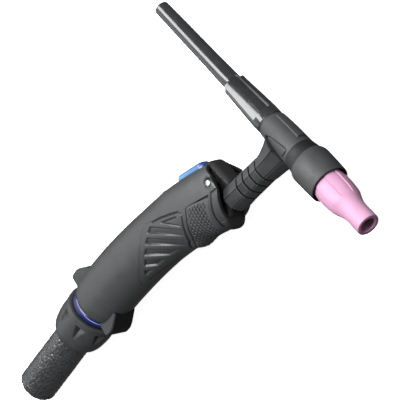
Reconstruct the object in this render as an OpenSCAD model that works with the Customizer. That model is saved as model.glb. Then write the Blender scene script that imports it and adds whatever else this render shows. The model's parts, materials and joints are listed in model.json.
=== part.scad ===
// Gas tungsten arc welding torch with a flexible neck, a long back cap and a lit push button.
// Millimetres. The torch lies on its side: +X runs forward along the handle, +Y is the
// button and back cap side, +Z points up and the mid-plane is horizontal.

/* [Head] */
// Angle between the handle's rear axis and the nozzle axis
head_angle = 74; // [70:1:78]
// Distance from the neck axis to the nozzle's mouth
nozzle_tip = 79.3; // [74:0.1:84]
// Outer radius at the nozzle's mouth
nozzle_mouth_r = 7.7; // [7:0.1:8.5]
// Bore radius of the nozzle's mouth
nozzle_bore_r = 4.9; // [4:0.1:5.5]
// Outer radius of the front collar
collar_r = 13.1; // [12.8:0.1:14]
// Distance from the neck axis to the front collar's rim
collar_rim = 40; // [38:0.5:42]
// Distance from the neck axis to the back cap's far end
cap_tip = 135.6; // [110:0.1:140]
// Radius of the back cap at its far end
cap_tip_r = 4.7; // [4.2:0.1:5.2]
// Radius of the tungsten electrode
electrode_r = 1.2; // [0.8:0.1:1.2]

/* [Neck] */
// Angle of the neck below the handle's rear axis
neck_angle = 6.8; // [5:0.1:9]
// Radius of the neck jacket across its corners
neck_r = 9.4; // [9:0.1:10]
// Distance from the head axis to the first flexing groove
groove_first = 29; // [28:0.5:30]
// Spacing of the flexing grooves
groove_pitch = 7.5; // [7.2:0.1:8]
// Width of each flexing groove
groove_w = 1.1; // [1:0.1:1.4]

/* [Handle] */
// Radius of the handle's curved centre line
handle_curve_r = 500; // [450:10:560]
// Position of the handle's rear end behind the head axis
handle_rear = 220; // [215:1:225]
// Length of the handle along its centre line
handle_len = 161; // [155:1:165]
// Offset of the cable axis above the crossing of neck and head
cable_offset = 39.6; // [37:0.1:42]
// Wall thickness of the handle shells
shell_wall = 2.4; // [2:0.1:3]

/* [Cable end] */
// Outer radius of the leather cable sleeve
sleeve_r = 11.5; // [11.2:0.1:11.7]
// Position of the sleeve's open end behind the head axis
sleeve_end = 307; // [295:1:315]
// Radius of the cable nut's front lip
nut_r = 17.8; // [17:0.1:18.2]

/* [Button] */
// Length of the push button
button_len = 27.5; // [24:0.5:34]
// Width of the push button
button_w = 10.4; // [9:0.1:14]
// Height of the push button's crown above the centre line
button_top = 23.4; // [21:0.1:24]

/* [Hidden] */
$fn = 64;

eps = 0.01;
half_depth = nut_r;
groove_gap = groove_w / 2;

// The crossing of the head axis and the neck axis, placed so that the whole torch is centred.
lip = 0.4;
cap_round = 1.5;
front_x = (nozzle_tip - lip) * cos(head_angle) + nozzle_mouth_r * sin(head_angle);
low_y = nozzle_tip * sin(head_angle) + (nozzle_mouth_r - lip) * cos(head_angle);
high_y = (cap_tip - cap_round) * sin(head_angle)
    + (cap_tip_r - cap_round) * cos(head_angle) + cap_round;
cross_at = [(sleeve_end - front_x) / 2, (low_y - high_y) / 2, half_depth];

// Stations on the head axis, measured from the crossing towards the nozzle.
cap_face = -20.8;
jacket_top = -19.6;
seam_at = 9.3;
shoulder_at = 18.3;
nozzle_back = 26;
fin_start = -58;
fin_end = -27;
cap_bore_r = 4.1;
core_r = 7;
core_bore_r = 4.2;
insert_r = 4.1;
tip_hidden = 3.3;
electrode_len = 175;
saddle_r = 11.3;
electrode_tip = nozzle_tip - tip_hidden;

// Stations on the neck axis, measured from the crossing towards the head (so negative).
hinge_at = [for (k = [3:-1:0]) -groove_first - k * groove_pitch];
link_r = 7;
ball_r = 5.5;
socket_r = 5.8;
tube_r = 4.5;
jacket_bore_r = 7.4;
neck_back = -72;
tube_back = -84;

// Stations on the cable axis, measured from the crossing (negative to the rear).
rear_x = -handle_rear;
bush_r = 13.2;
bush_bore_r = 11.8;
bush_front = rear_x + 14;
bush_back = rear_x - 14;
ring_r = 15.9;
ring_back = rear_x - 4.5;
nut_front = rear_x - 6;
nut_back = rear_x - 33;
sleeve_step = nut_back - 6;
lug_len = 19;
lug_tip = 23.2;
lug_half = 8;

// Cable axis offsets of the hose and of the control lead inside the sleeve.
hose_drop = 3.5;
lead_rise = 6;
hose_y = cable_offset - hose_drop;
lead_y = cable_offset + lead_rise;
hose_r = 5;
lead_r = 2;
fitting_front = -sleeve_end + 19;
plug_back = -sleeve_end + 27;
plug_len = 14;

// Routes of the hose and the lead through the handle, as points on the mid-plane.
hose_route = [
    [-89.4, 10.7], [-97, 11.57], [-108, 15], [-122, 20.5], [-136, 25.8], [-152, 30.2],
    [-170, 33], [-190, 35], [-208, 36], [-226, hose_y], [-250, hose_y], [fitting_front, hose_y]
];
lead_route = [
    [-109, 30.2], [-113, 31.8], [-122, 34], [-136, 37.5], [-152, 40.5], [-170, 43],
    [-190, 44.6], [-208, 45.4], [-226, lead_y], [plug_back + plug_len, lead_y]
];

// Half height and half depth of the handle's oval section along its centre line.
section_height = [
    [0, 15.6], [3, 17.2], [8, 18.2], [40, 18.6], [80, 18.7], [100, 19.4], [112, 20.6],
    [126, 20.7], [150, 20], [165, 19.2]
];
section_depth = [
    [0, 15.6], [3, 16.6], [8, 17], [80, 17], [100, 17.2], [112, 17.4], [126, 17.4],
    [150, 17.2], [165, 16.2]
];
section_steps = 20;
station_step = 7;
oval_power = 2.2;
screw_at = [-66, 21.5];
button_at = 130;
top_flat = 17.6;
pad_from = 118;
pad_to = 146;

function oval(t, a, b) = [
    a * sign(cos(t)) * pow(abs(cos(t)), 2 / oval_power),
    b * pow(abs(sin(t)), 2 / oval_power)
];
function turn(u) = u / handle_curve_r * 180 / PI;
function centre(u) = [
    -handle_rear + handle_curve_r * sin(turn(u)),
    cable_offset - handle_curve_r * (1 - cos(turn(u)))
];
function on_handle(u, n, z) = [
    centre(u)[0] + n * sin(turn(u)),
    centre(u)[1] + n * cos(turn(u)),
    z
];
function height_at(u) = lookup(u, section_height);
function depth_at(u) = lookup(u, section_depth);
// One section of a shell half: the outer arc from top to bottom, then the inner arc back.
function shell_ring(u, outer, inner, t0, t1) = concat(
    [for (k = [0:section_steps])
        let (p = oval(t0 + (t1 - t0) * k / section_steps, height_at(u) + outer,
            depth_at(u) + outer)) on_handle(u, p[0], p[1])],
    [for (k = [section_steps:-1:0])
        let (p = oval(t0 + (t1 - t0) * k / section_steps, height_at(u) + inner,
            depth_at(u) + inner)) on_handle(u, p[0], p[1])]
);

// Side faces and end caps of a loft through count rings of size points each.
function loft_faces(count, size) = concat(
    [for (i = [0:count - 2], k = [0:size - 1])
        [i * size + k, i * size + (k + 1) % size, (i + 1) * size + (k + 1) % size,
            (i + 1) * size + k]],
    [[for (k = [size - 1:-1:0]) k]],
    [[for (k = [0:size - 1]) (count - 1) * size + k]]
);
// End caps of a shell ring are strips of quads, because the ring is a hollow band.
function band_faces(count, half) = let (size = 2 * half) concat(
    [for (i = [0:count - 2], k = [0:size - 1])
        [i * size + k, i * size + (k + 1) % size, (i + 1) * size + (k + 1) % size,
            (i + 1) * size + k]],
    [for (k = [0:half - 2]) [size - 1 - k, size - 2 - k, k + 1, k]],
    [for (k = [0:half - 2]) let (b = (count - 1) * size)
        [b + k, b + k + 1, b + size - 2 - k, b + size - 1 - k]]
);

module at_cross() {
    translate(cross_at) children();
}
module at_head() {
    at_cross() rotate([0, 0, -head_angle]) rotate([0, 90, 0]) children();
}
module at_neck() {
    at_cross() rotate([0, 0, -neck_angle]) rotate([0, 90, 0]) children();
}
module at_cable() {
    at_cross() translate([0, cable_offset, 0]) rotate([0, 90, 0]) children();
}
module at_handle(u) {
    at_cross() translate([centre(u)[0], centre(u)[1], 0]) rotate([0, 0, -turn(u)]) children();
}
// A ring about the local Z axis, from z0 to z1.
module tube(z0, z1, outer, inner) {
    translate([0, 0, z0]) difference() {
        cylinder(h = z1 - z0, r = outer);
        translate([0, 0, -1]) cylinder(h = z1 - z0 + 2, r = inner);
    }
}
module rod(z0, z1, r) {
    translate([0, 0, z0]) cylinder(h = z1 - z0, r = r);
}
module octagon_rod(z0, z1, r) {
    translate([0, 0, z0]) cylinder(h = z1 - z0, r = r, $fn = 8);
}
// A flat pill lying in the local XZ plane, raised along local Y.
module pill(len, w, y0, y1) {
    translate([0, y1, 0]) rotate([90, 0, 0]) linear_extrude(y1 - y0) union() {
        square([len - w, w], center = true);
        translate([(len - w) / 2, 0]) circle(d = w);
        translate([(w - len) / 2, 0]) circle(d = w);
    }
}
// A round hose swept along a route on the plane at height z.
module swept_tube(route, r, sides) {
    last = len(route) - 1;
    points = [for (i = [0:last]) let (
        a = route[max(i - 1, 0)],
        b = route[min(i + 1, last)],
        d = (b - a) / norm(b - a)
    ) for (k = [0:sides - 1]) let (t = 360 * k / sides)
        [route[i][0] - d[1] * r * cos(t), route[i][1] + d[0] * r * cos(t), r * sin(t)]];
    at_cross() polyhedron(points, loft_faces(last + 1, sides), convexity = 4);
}

// ---- Head ----
module nozzle() {
    color([0.93, 0.68, 0.83]) at_head() {
        difference() {
            union() {
                rotate_extrude() polygon([
                    [0, nozzle_back], [10.3, nozzle_back], [10.3, 52.5], [10.1, 55.5],
                    [9.5, 58.2], [8.5, 61.2], [7.7, 64], [7.35, 67],
                    [7.45, 70], [nozzle_mouth_r, nozzle_tip - lip],
                    [nozzle_mouth_r - lip, nozzle_tip], [0, nozzle_tip]
                ]);
                intersection() {
                    rod(nozzle_back + 6, 54, 10.8);
                    for (k = [0:3]) rotate([0, 0, 45 + 90 * k])
                        translate([0, -5, nozzle_back]) cube([12, 10, 40]);
                }
            }
            rod(nozzle_tip - 13, nozzle_tip + 1, nozzle_bore_r);
            translate([0, 0, 56]) cylinder(h = nozzle_tip - 13 - 56 + eps, r1 = 7, r2 = nozzle_bore_r);
            rod(36, 56 + eps, 7);
            rod(nozzle_back - 1, 36 + eps, 5.5);
        }
    }
}
module nozzle_seal() {
    color([0.85, 0.83, 0.78]) at_head() tube(23, 25.6, 9.6, 5.5);
}
module front_collar() {
    color([0.28, 0.29, 0.3]) at_head() rotate_extrude() polygon([
        [core_r + 0.2, seam_at], [10.5, seam_at], [11.7, shoulder_at - 1.6],
        [12.4, shoulder_at - 0.6], [collar_r - 0.3, shoulder_at + 0.6],
        [collar_r, shoulder_at + 1.6], [collar_r, collar_rim - 0.5],
        [collar_r - 0.4, collar_rim], [collar_r - 0.8, collar_rim], [collar_r - 0.8, 22],
        [core_r + 0.2, 22]
    ]);
}
module head_core() {
    color([0.78, 0.6, 0.3]) difference() {
        union() {
            at_head() rod(jacket_top, 14, core_r);
            at_neck() rod(-12, 0, 6);
        }
        at_head() rod(jacket_top - 1, 15, core_bore_r);
        at_neck() rod(-13, -2, 3);
    }
}
module head_outline(extra) {
    at_head() rotate_extrude() polygon([
        [0, jacket_top], [8.9 + extra, jacket_top], [9.25 + extra, jacket_top + 0.35],
        [9.95 + extra, -12], [10.3 + extra, -4], [10.5 + extra, seam_at - 0.15],
        [0, seam_at - 0.15]
    ]);
}
module head_jacket() {
    color([0.3, 0.31, 0.32]) difference() {
        union() {
            head_outline(0);
            at_head() translate([-2.2, 8, -17]) cube([4.4, 3.2, 21.7]);
        }
        at_head() rod(jacket_top - 1, 15, core_r);
        at_neck() rod(-14, -2, 6);
    }
}
module neck_saddle() {
    front = hinge_at[3] + groove_gap;
    color([0.27, 0.28, 0.29]) difference() {
        at_neck() hull() {
            octagon_rod(front, front + 1, neck_r);
            octagon_rod(-9, -8.5, saddle_r);
        }
        head_outline(0.02);
        at_neck() rod(front - 1, -4, 6.02);
        at_neck() rod(front - 1, front + 6, jacket_bore_r);
    }
}
module collet_body() {
    color([0.85, 0.62, 0.4]) at_head() difference() {
        union() {
            rod(-4, 15, 4.15);
            rod(14.2, 18, 6.6);
            rod(17, 48, 5.2);
            rod(48, 50, 4);
        }
        rod(-5, 44, 2.6);
        translate([0, 0, 44 - eps]) cylinder(h = 5, r1 = 2.6, r2 = electrode_r + 0.15);
        rod(48, 52, electrode_r + 0.15);
        for (k = [0:3]) translate([0, 0, 41]) rotate([0, 90, 45 + 90 * k])
            translate([0, 0, 1]) cylinder(h = 8, r = 1, $fn = 24);
    }
}
module collet() {
    color([0.88, 0.58, 0.36]) at_head() difference() {
        union() {
            rod(-14, 43, 2.4);
            translate([0, 0, 43]) cylinder(h = 2, r1 = 2.4, r2 = 1.8);
        }
        rod(-15, 46, electrode_r + 0.05);
        translate([-0.25, -3, 24]) cube([0.5, 6, 30]);
    }
}
module tungsten_electrode() {
    color([0.6, 0.6, 0.6]) at_head() {
        rod(electrode_tip - electrode_len, electrode_tip - 5, electrode_r);
        translate([0, 0, electrode_tip - 5]) cylinder(h = 5, r1 = electrode_r, r2 = 0.15);
    }
}

// ---- Back cap ----
module cap_blank(skin) {
    rotate_extrude() polygon(concat(
        [[0, -cap_tip], [cap_tip_r - cap_round, -cap_tip]],
        [for (t = [15:15:90])
            [cap_tip_r - cap_round + cap_round * sin(t), -cap_tip + cap_round * (1 - cos(t))]],
        [[5.7, fin_start], [7.7 + skin, fin_end], [8.8, fin_end + 0.3], [8.95, cap_face],
            [0, cap_face]]
    ));
}
module back_cap() {
    color([0.2, 0.2, 0.21]) at_head() difference() {
        union() {
            cap_blank(0);
            intersection() {
                rotate_extrude() polygon([
                    [0, fin_start], [7.4, fin_start], [9.05, fin_end], [8.9, fin_end + 2],
                    [0, fin_end + 2]
                ]);
                for (k = [0:3]) rotate([0, 0, 90 * k])
                    translate([0, -3.6, fin_start - 1]) cube([12, 7.2, 40]);
            }
        }
        rod(-cap_tip + 4, cap_face + 1, 2.8);
        rod(-36, cap_face + 1, cap_bore_r);
    }
}
module back_cap_insert() {
    color([0.82, 0.64, 0.32]) at_head() tube(-36, -9, insert_r, 2.8);
}
module back_cap_seal() {
    color([0.12, 0.12, 0.12]) at_head() tube(cap_face + 0.15, jacket_top - 0.15, 8.2, 4.3);
}

// ---- Flexible neck ----
module neck_ring(k) {
    from = hinge_at[k - 1] + groove_gap;
    to = hinge_at[k] - groove_gap;
    color([0.26, 0.27, 0.27]) at_neck() difference() {
        octagon_rod(from, to, neck_r);
        rod(from - 1, to + 1, jacket_bore_r);
    }
}
module neck_ring_1() {
    neck_ring(1);
}
module neck_ring_2() {
    neck_ring(2);
}
module neck_ring_3() {
    neck_ring(3);
}
module neck_jacket_rear() {
    to = hinge_at[0] - groove_gap;
    color([0.26, 0.27, 0.27]) at_neck() difference() {
        octagon_rod(neck_back, to, neck_r);
        rod(neck_back - 1, to + 1, tube_r);
        rod(to - 7, to + 1, jacket_bore_r);
    }
}
// The socket of a link turns about the hinge at z, on the ball of the link behind it.
module socket(z) {
    difference() {
        rod(z - 1, z + 4.3, link_r);
        translate([0, 0, z]) sphere(r = socket_r);
        rod(z, z + 9, 3);
    }
}
module ball(z) {
    difference() {
        union() {
            intersection() {
                translate([0, 0, z]) sphere(r = ball_r);
                rod(z - 4.2, z + 2.6, ball_r);
            }
            rod(z - 4.2, z, tube_r - 0.3);
        }
        rod(z - 9, z + 9, 3);
    }
}
module flex_link(k) {
    color([0.75, 0.5, 0.32]) at_neck() {
        socket(hinge_at[k - 2]);
        ball(hinge_at[k - 1]);
    }
}
module flex_tube_1() {
    color([0.75, 0.5, 0.32]) at_neck() {
        tube(tube_back, hinge_at[0] - 4.1, tube_r, 3);
        ball(hinge_at[0]);
    }
}
module flex_tube_2() {
    flex_link(2);
}
module flex_tube_3() {
    flex_link(3);
}
module flex_tube_4() {
    flex_link(4);
}
module flex_tube_5() {
    color([0.75, 0.5, 0.32]) at_neck() {
        socket(hinge_at[3]);
        tube(hinge_at[3] + 4.2, -12, tube_r, 3);
    }
}

// ---- Handle ----
// One upper half of a hollow band that follows the handle, between angles t0 and t1.
module handle_band(u0, u1, outer, inner, t0, t1) {
    count = ceil((u1 - u0) / station_step) + 1;
    stations = [for (i = [0:count - 1]) u0 + (u1 - u0) * i / (count - 1)];
    points = [for (u = stations) each shell_ring(u, outer, inner, t0, t1)];
    at_cross() polyhedron(points, band_faces(count, section_steps + 1), convexity = 6);
}
module rear_lug_shape(extra) {
    at_cable() translate([0, 0, rear_x - 2 - extra]) intersection() {
        translate([-lug_half - extra, -30, 0]) cube([2 * (lug_half + extra), 60, lug_len + 2 * extra]);
        cylinder(h = lug_len + 2 * extra, r1 = lug_tip + extra, r2 = lug_tip - 2 + extra);
    }
}
module shell_cutouts() {
    at_handle(button_at) pill(button_len + 9, button_w + 3.6, 10, 30);
    at_handle(button_at) translate([-17.3, top_flat, -20]) cube([34.6, 10, 40]);
    rear_lug_shape(0.15);
    at_cross() translate([screw_at[0], screw_at[1], -30]) cylinder(h = 60, r = 1.7);
    at_cross() translate([screw_at[0], screw_at[1], 13.4]) cylinder(h = 10, r = 3.4);
    at_cross() translate([screw_at[0], screw_at[1], -23.4]) cylinder(h = 10, r = 3.4);
}
module handle_shell_upper() {
    color([0.29, 0.3, 0.3]) difference() {
        handle_band(0, handle_len, 0, -shell_wall, 0, 180);
        shell_cutouts();
        grip_pocket();
    }
}
module handle_shell_lower() {
    color([0.27, 0.28, 0.28]) difference() {
        at_mid_mirror() handle_band(0, handle_len, 0, -shell_wall, 0, 180);
        shell_cutouts();
        at_mid_mirror() grip_pocket();
    }
}
module at_mid_mirror() {
    at_cross() mirror([0, 0, 1]) translate(-cross_at) children();
}
module grip_pocket() {
    at_handle((pad_from + pad_to) / 2) translate([0, -9, 15]) rotate([0, 0, 8])
        cube([pad_to - pad_from, 15, 20], center = true);
}
module grip_pad() {
    intersection() {
        handle_band(pad_from - 12, pad_to + 10, 0.3, -shell_wall, 20, 170);
        at_handle((pad_from + pad_to) / 2) translate([0, -9, 15]) rotate([0, 0, 8])
            cube([pad_to - pad_from - 0.2, 14.8, 20], center = true);
    }
}
module grip_pad_upper() {
    color([0.24, 0.25, 0.25]) grip_pad();
}
module grip_pad_lower() {
    color([0.24, 0.25, 0.25]) at_mid_mirror() grip_pad();
}
module nose_slab(a, b, forward, lift) {
    at_handle(handle_len) translate([forward, lift, 0]) rotate([0, 90, 0])
        linear_extrude(0.5) polygon([for (t = [0:15:345])
            [b * sin(t), a * cos(t)]]);
}
module nose_piece() {
    color([0.1, 0.1, 0.1]) difference() {
        union() {
            hull() {
                nose_slab(height_at(handle_len), depth_at(handle_len), 0.1, 0);
                nose_slab(13.5, 9.5, 2.5, -2.5);
                nose_slab(9.6, 8.3, 5, -5);
            }
            hull() {
                nose_slab(6, 9.5, 0.1, -11);
                at_handle(handle_len) translate([-11, -23.6, -9]) cube([5, 3, 18]);
                at_handle(handle_len) translate([1, -18, -8]) cube([1, 6, 16]);
            }
            at_handle(handle_len) translate([-9, -12, -9]) cube([9.2, 23, 18]);
        }
        at_neck() rod(-100, -40, 10.3);
        at_handle(handle_len) translate([-20, -20.3, -20]) cube([20.06, 8.3, 40]);
        at_cross() translate([screw_at[0], screw_at[1], -30]) cylinder(h = 60, r = 1.7);
    }
}
module button_bezel() {
    color([0.22, 0.23, 0.23]) at_handle(button_at) difference() {
        pill(button_len + 8.6, button_w + 3.2, 14.6, top_flat + 0.8);
        pill(button_len + 0.6, button_w + 0.6, 10, 30);
    }
}
module button_lens() {
    color([0.45, 0.7, 1]) at_handle(button_at) {
        pill(button_len, button_w, 17, button_top - 0.8);
        pill(button_len - 3, button_w - 3, 17, button_top);
    }
}
module button_plunger() {
    color([0.85, 0.85, 0.85]) at_handle(button_at) translate([-2, 13.2, -2]) cube([4, 3.8, 4]);
}
module micro_switch() {
    color([0.12, 0.12, 0.13]) at_handle(button_at) translate([-6.4, 5.8, -3]) cube([12.8, 5.8, 6]);
}
module switch_board() {
    color([0.1, 0.35, 0.2]) at_handle(button_at) translate([-18, 4.2, -7]) cube([34, 1.6, 14]);
}
module button_led() {
    color([0.9, 0.95, 1]) at_handle(button_at) for (x = [-12, 10])
        translate([x - 1.5, 5.8, -1.5]) cube([3, 2, 3]);
}
module handle_screw() {
    color([0.8, 0.8, 0.82]) at_cross() translate([screw_at[0], screw_at[1], 0]) difference() {
        union() {
            rod(-15.5, 13.6, 1.5);
            rod(13.5, 15.3, 2.9);
        }
        translate([0, 0, 14.2]) cylinder(h = 2, r = 1.2, $fn = 6);
    }
}
module handle_screw_nut() {
    color([0.75, 0.75, 0.77]) at_cross() translate([screw_at[0], screw_at[1], -15.6])
        difference() {
            cylinder(h = 2.1, r = 3.1, $fn = 6);
            translate([0, 0, -1]) cylinder(h = 5, r = 1.5);
        }
}
module neck_clamp() {
    color([0.4, 0.4, 0.42]) difference() {
        at_neck() translate([-8, -4.6, -79.8]) cube([16, 12, 4]);
        at_neck() rod(-90, -70, tube_r);
    }
}
module hose_coupling() {
    color([0.82, 0.64, 0.32]) at_neck() difference() {
        translate([0, 0, -94]) cylinder(h = 10, r = 6.4, $fn = 6);
        rod(-95, -90, hose_r);
        rod(-91, -80, 3);
    }
}

// ---- Cable end ----
module power_hose() {
    color([0.12, 0.12, 0.12]) swept_tube(hose_route, hose_r, 12);
}
module hose_fitting() {
    color([0.82, 0.64, 0.32]) at_cross() translate([0, hose_y, 0]) rotate([0, 90, 0])
        difference() {
            union() {
                translate([0, 0, fitting_front - 8]) cylinder(h = 6, r = 6.2, $fn = 6);
                rod(fitting_front - 17, fitting_front - 7.9, 4.8);
                rod(fitting_front - 2.1, fitting_front, hose_r);
            }
            rod(fitting_front - 20, fitting_front + 1, 2.5);
        }
}
module hose_ferrule() {
    color([0.8, 0.8, 0.82]) at_cross() translate([0, hose_y, 0]) rotate([0, 90, 0])
        tube(fitting_front + 2, fitting_front + 12, hose_r + 0.7, hose_r);
}
module control_cable() {
    color([0.15, 0.15, 0.15]) swept_tube(lead_route, lead_r, 8);
}
module control_plug() {
    color([0.2, 0.2, 0.2]) at_cross() translate([0, lead_y - 0.2, 0]) rotate([0, 90, 0])
        difference() {
            rod(plug_back, plug_back + plug_len, 3.4);
            rod(plug_back - 1, plug_back + 6, 2.6);
        }
}
module rear_bush() {
    color([0.2, 0.2, 0.2]) difference() {
        union() {
            at_cable() rod(bush_back, bush_front, bush_r - 0.2);
            rear_lug_shape(0);
        }
        at_cable() rod(bush_back - 1, bush_front + 6, bush_bore_r);
        at_cable() tube(rear_x - 9, rear_x + 0.1, 40, bush_r - 0.2);
    }
}
module light_ring() {
    color([0.1, 0.2, 0.7]) at_cable() difference() {
        tube(ring_back, rear_x - 0.1, ring_r, bush_r + 0.1);
        rod(rear_x - 3, rear_x + 1, ring_r - 1);
    }
}
module ring_board() {
    color([0.1, 0.35, 0.2]) at_cable() tube(rear_x - 2.6, rear_x - 1.4, ring_r - 1.2, bush_r + 0.1);
}
module clamp_ring() {
    color([0.3, 0.3, 0.3]) at_cable() difference() {
        tube(bush_back - 6, bush_back - 1, bush_r - 0.1, sleeve_r + 0.1);
        translate([0, 10, bush_back - 8]) translate([-1, 0, 0]) cube([2, 8, 10]);
    }
}
module cable_nut() {
    color([0.24, 0.25, 0.25]) at_cable() difference() {
        rotate_extrude() polygon(concat(
            [[sleeve_r + 0.3, nut_front - 16], [bush_r + 0.3, nut_front - 14.5],
                [bush_r + 0.3, nut_front], [nut_r - 0.6, nut_front], [nut_r, nut_front - 0.8]],
            [[nut_r - 0.1, nut_front - 8], [nut_r - 0.8, nut_front - 16],
                [nut_r - 1.5, nut_front - 20]],
            [for (t = [0:15:75])
                [nut_r - 5 + 3.2 * cos(t), nut_front - 23 - 4 * sin(t)]],
            [[sleeve_r + 0.3, nut_back]]
        ));
        for (k = [0:7]) rotate([0, 0, 45 * k]) translate([nut_r - 1.2, 0, nut_front - 8])
            rotate([0, 90, 0]) linear_extrude(4) polygon([[0, -2.6], [15, 0], [0, 2.6]]);
    }
}
module cable_sleeve() {
    color([0.13, 0.13, 0.13]) at_cable() {
        tube(-sleeve_end, sleeve_step, sleeve_r, sleeve_r - 1.6);
        tube(sleeve_step, rear_x - 9, sleeve_r - 0.2, sleeve_r - 1.6);
    }
}

nozzle();
nozzle_seal();
front_collar();
head_core();
head_jacket();
neck_saddle();
collet_body();
collet();
tungsten_electrode();
back_cap();
back_cap_insert();
back_cap_seal();
neck_ring_1();
neck_ring_2();
neck_ring_3();
neck_jacket_rear();
flex_tube_1();
flex_tube_2();
flex_tube_3();
flex_tube_4();
flex_tube_5();
handle_shell_upper();
handle_shell_lower();
nose_piece();
grip_pad_upper();
grip_pad_lower();
button_bezel();
button_lens();
button_plunger();
micro_switch();
switch_board();
button_led();
handle_screw();
handle_screw_nut();
neck_clamp();
hose_coupling();
power_hose();
hose_ferrule();
hose_fitting();
control_cable();
control_plug();
rear_bush();
light_ring();
ring_board();
clamp_ring();
cable_nut();
cable_sleeve();
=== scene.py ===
"""Scene of the welding torch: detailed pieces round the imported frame, lights, floor and camera."""

import json
import math

import bmesh
import bpy
import numpy as np
from mathutils import Matrix, Vector


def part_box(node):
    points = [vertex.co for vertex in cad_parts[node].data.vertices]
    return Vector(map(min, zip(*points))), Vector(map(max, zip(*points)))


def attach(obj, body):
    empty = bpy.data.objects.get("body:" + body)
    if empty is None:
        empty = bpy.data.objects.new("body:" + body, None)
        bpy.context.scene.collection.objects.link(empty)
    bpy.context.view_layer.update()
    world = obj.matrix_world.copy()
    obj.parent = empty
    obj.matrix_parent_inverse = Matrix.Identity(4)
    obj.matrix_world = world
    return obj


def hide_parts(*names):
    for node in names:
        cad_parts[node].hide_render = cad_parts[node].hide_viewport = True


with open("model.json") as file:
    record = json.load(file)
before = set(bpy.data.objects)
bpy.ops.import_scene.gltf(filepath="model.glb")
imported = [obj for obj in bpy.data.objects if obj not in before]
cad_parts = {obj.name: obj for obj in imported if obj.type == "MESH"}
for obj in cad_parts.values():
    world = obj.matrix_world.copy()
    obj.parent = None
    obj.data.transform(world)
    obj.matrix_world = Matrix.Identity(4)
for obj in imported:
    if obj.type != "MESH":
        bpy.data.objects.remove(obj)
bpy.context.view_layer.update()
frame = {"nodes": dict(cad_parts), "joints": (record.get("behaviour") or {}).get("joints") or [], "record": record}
scene = bpy.context.scene
MM = 0.001

# ---- axes of the torch
# Round an axis d is the station along it and r the radius in mm, and angle is in degrees.
joints = {j["name"]: j for j in frame["joints"]}


def joint_point(name):
    return np.array(joints[name]["pos_m"], float) / MM


def joint_axis(name):
    axis = np.array(joints[name]["axis"], float)
    return axis / np.linalg.norm(axis)


UP = np.array([0.0, 0.0, 1.0])
HEAD_DIR = joint_axis("nozzle_turn")
NECK_DIR = joint_point("neck_bend_4") - joint_point("neck_bend_1")
NECK_DIR /= np.linalg.norm(NECK_DIR)
HEAD_SIDE = np.cross(UP, HEAD_DIR)
NECK_SIDE = np.cross(UP, NECK_DIR)
head_base, neck_base = joint_point("nozzle_turn"), joint_point("neck_bend_4")
along = np.linalg.lstsq(
    np.stack([HEAD_DIR[:2], -NECK_DIR[:2]], axis=1), (neck_base - head_base)[:2], rcond=None
)[0][0]
CROSS = head_base + along * HEAD_DIR
CABLE_DIR = -joint_axis("nut_turn")
CABLE_SIDE = np.cross(UP, CABLE_DIR)
CABLE_BASE = joint_point("nut_turn") * [0, 1, 1] + CROSS * [1, 0, 0]


class Axis:
    """A straight axis with stations in mm from its base. Angles start at side and go right-handed
    round the axis."""

    def __init__(self, base, direction, side):
        self.base, self.direction, self.side = base, direction, side
        self.second = np.cross(direction, side)

    def point(self, station, radius, angle):
        a = np.radians(angle)
        out = self.base + np.multiply.outer(station, self.direction)
        return (out + np.multiply.outer(radius * np.cos(a), self.side)
                + np.multiply.outer(radius * np.sin(a), self.second))


HEAD = Axis(CROSS, HEAD_DIR, HEAD_SIDE)
NECK = Axis(CROSS, NECK_DIR, NECK_SIDE)
CABLE = Axis(CABLE_BASE, CABLE_DIR, CABLE_SIDE)
HINGES = [float((joint_point(f"neck_bend_{k}") - CROSS) @ NECK_DIR) for k in (1, 2, 3, 4)]


# ---- numeric helpers
def smooth(edge0, edge1, x):
    t = np.clip((x - edge0) / (edge1 - edge0), 0, 1)
    return t * t * (3 - 2 * t)


def line_distance(x, y, points):
    """Distance from each (x, y) to an open polyline."""
    best = np.full(np.shape(x), 1e9)
    for (ax, ay), (bx, by) in zip(points[:-1], points[1:]):
        dx, dy = bx - ax, by - ay
        t = np.clip(((x - ax) * dx + (y - ay) * dy) / (dx * dx + dy * dy), 0, 1)
        best = np.minimum(best, np.hypot(x - ax - t * dx, y - ay - t * dy))
    return best


def polygon_depth(x, y, points):
    """Signed distance to a closed polygon, positive inside."""
    inside = np.zeros(np.shape(x), bool)
    ring = list(points) + [points[0]]
    for (ax, ay), (bx, by) in zip(ring[:-1], ring[1:]):
        crosses = (ay > y) != (by > y)
        with np.errstate(divide="ignore", invalid="ignore"):
            at = ax + (y - ay) * (bx - ax) / np.where(by == ay, 1e-9, by - ay)
        inside ^= crosses & (x < at)
    distance = line_distance(x, y, ring)
    return np.where(inside, distance, -distance)


def subdivide(points, step):
    out = []
    for a, b in zip(points[:-1], points[1:]):
        count = max(1, int(np.ceil(math.dist(a, b) / step)))
        out += [tuple(np.add(a, np.subtract(b, a) * k / count)) for k in range(count)]
    return out + [tuple(points[-1])]


def value_noise(x, y, seed, period=64):
    """Smooth random field between -1 and 1, with features about one unit across."""
    grid = np.random.default_rng(seed).uniform(-1, 1, (period, period))
    xi, yi = np.floor(x).astype(int), np.floor(y).astype(int)
    fx, fy = smooth(0, 1, x - xi), smooth(0, 1, y - yi)
    g = lambda a, b: grid[np.mod(a, period), np.mod(b, period)]
    low = g(xi, yi) * (1 - fx) + g(xi + 1, yi) * fx
    high = g(xi, yi + 1) * (1 - fx) + g(xi + 1, yi + 1) * fx
    return low * (1 - fy) + high * fy


# ---- mesh helpers
CREASE = math.radians(34)
LEAST_RADIUS = 0.001


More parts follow.
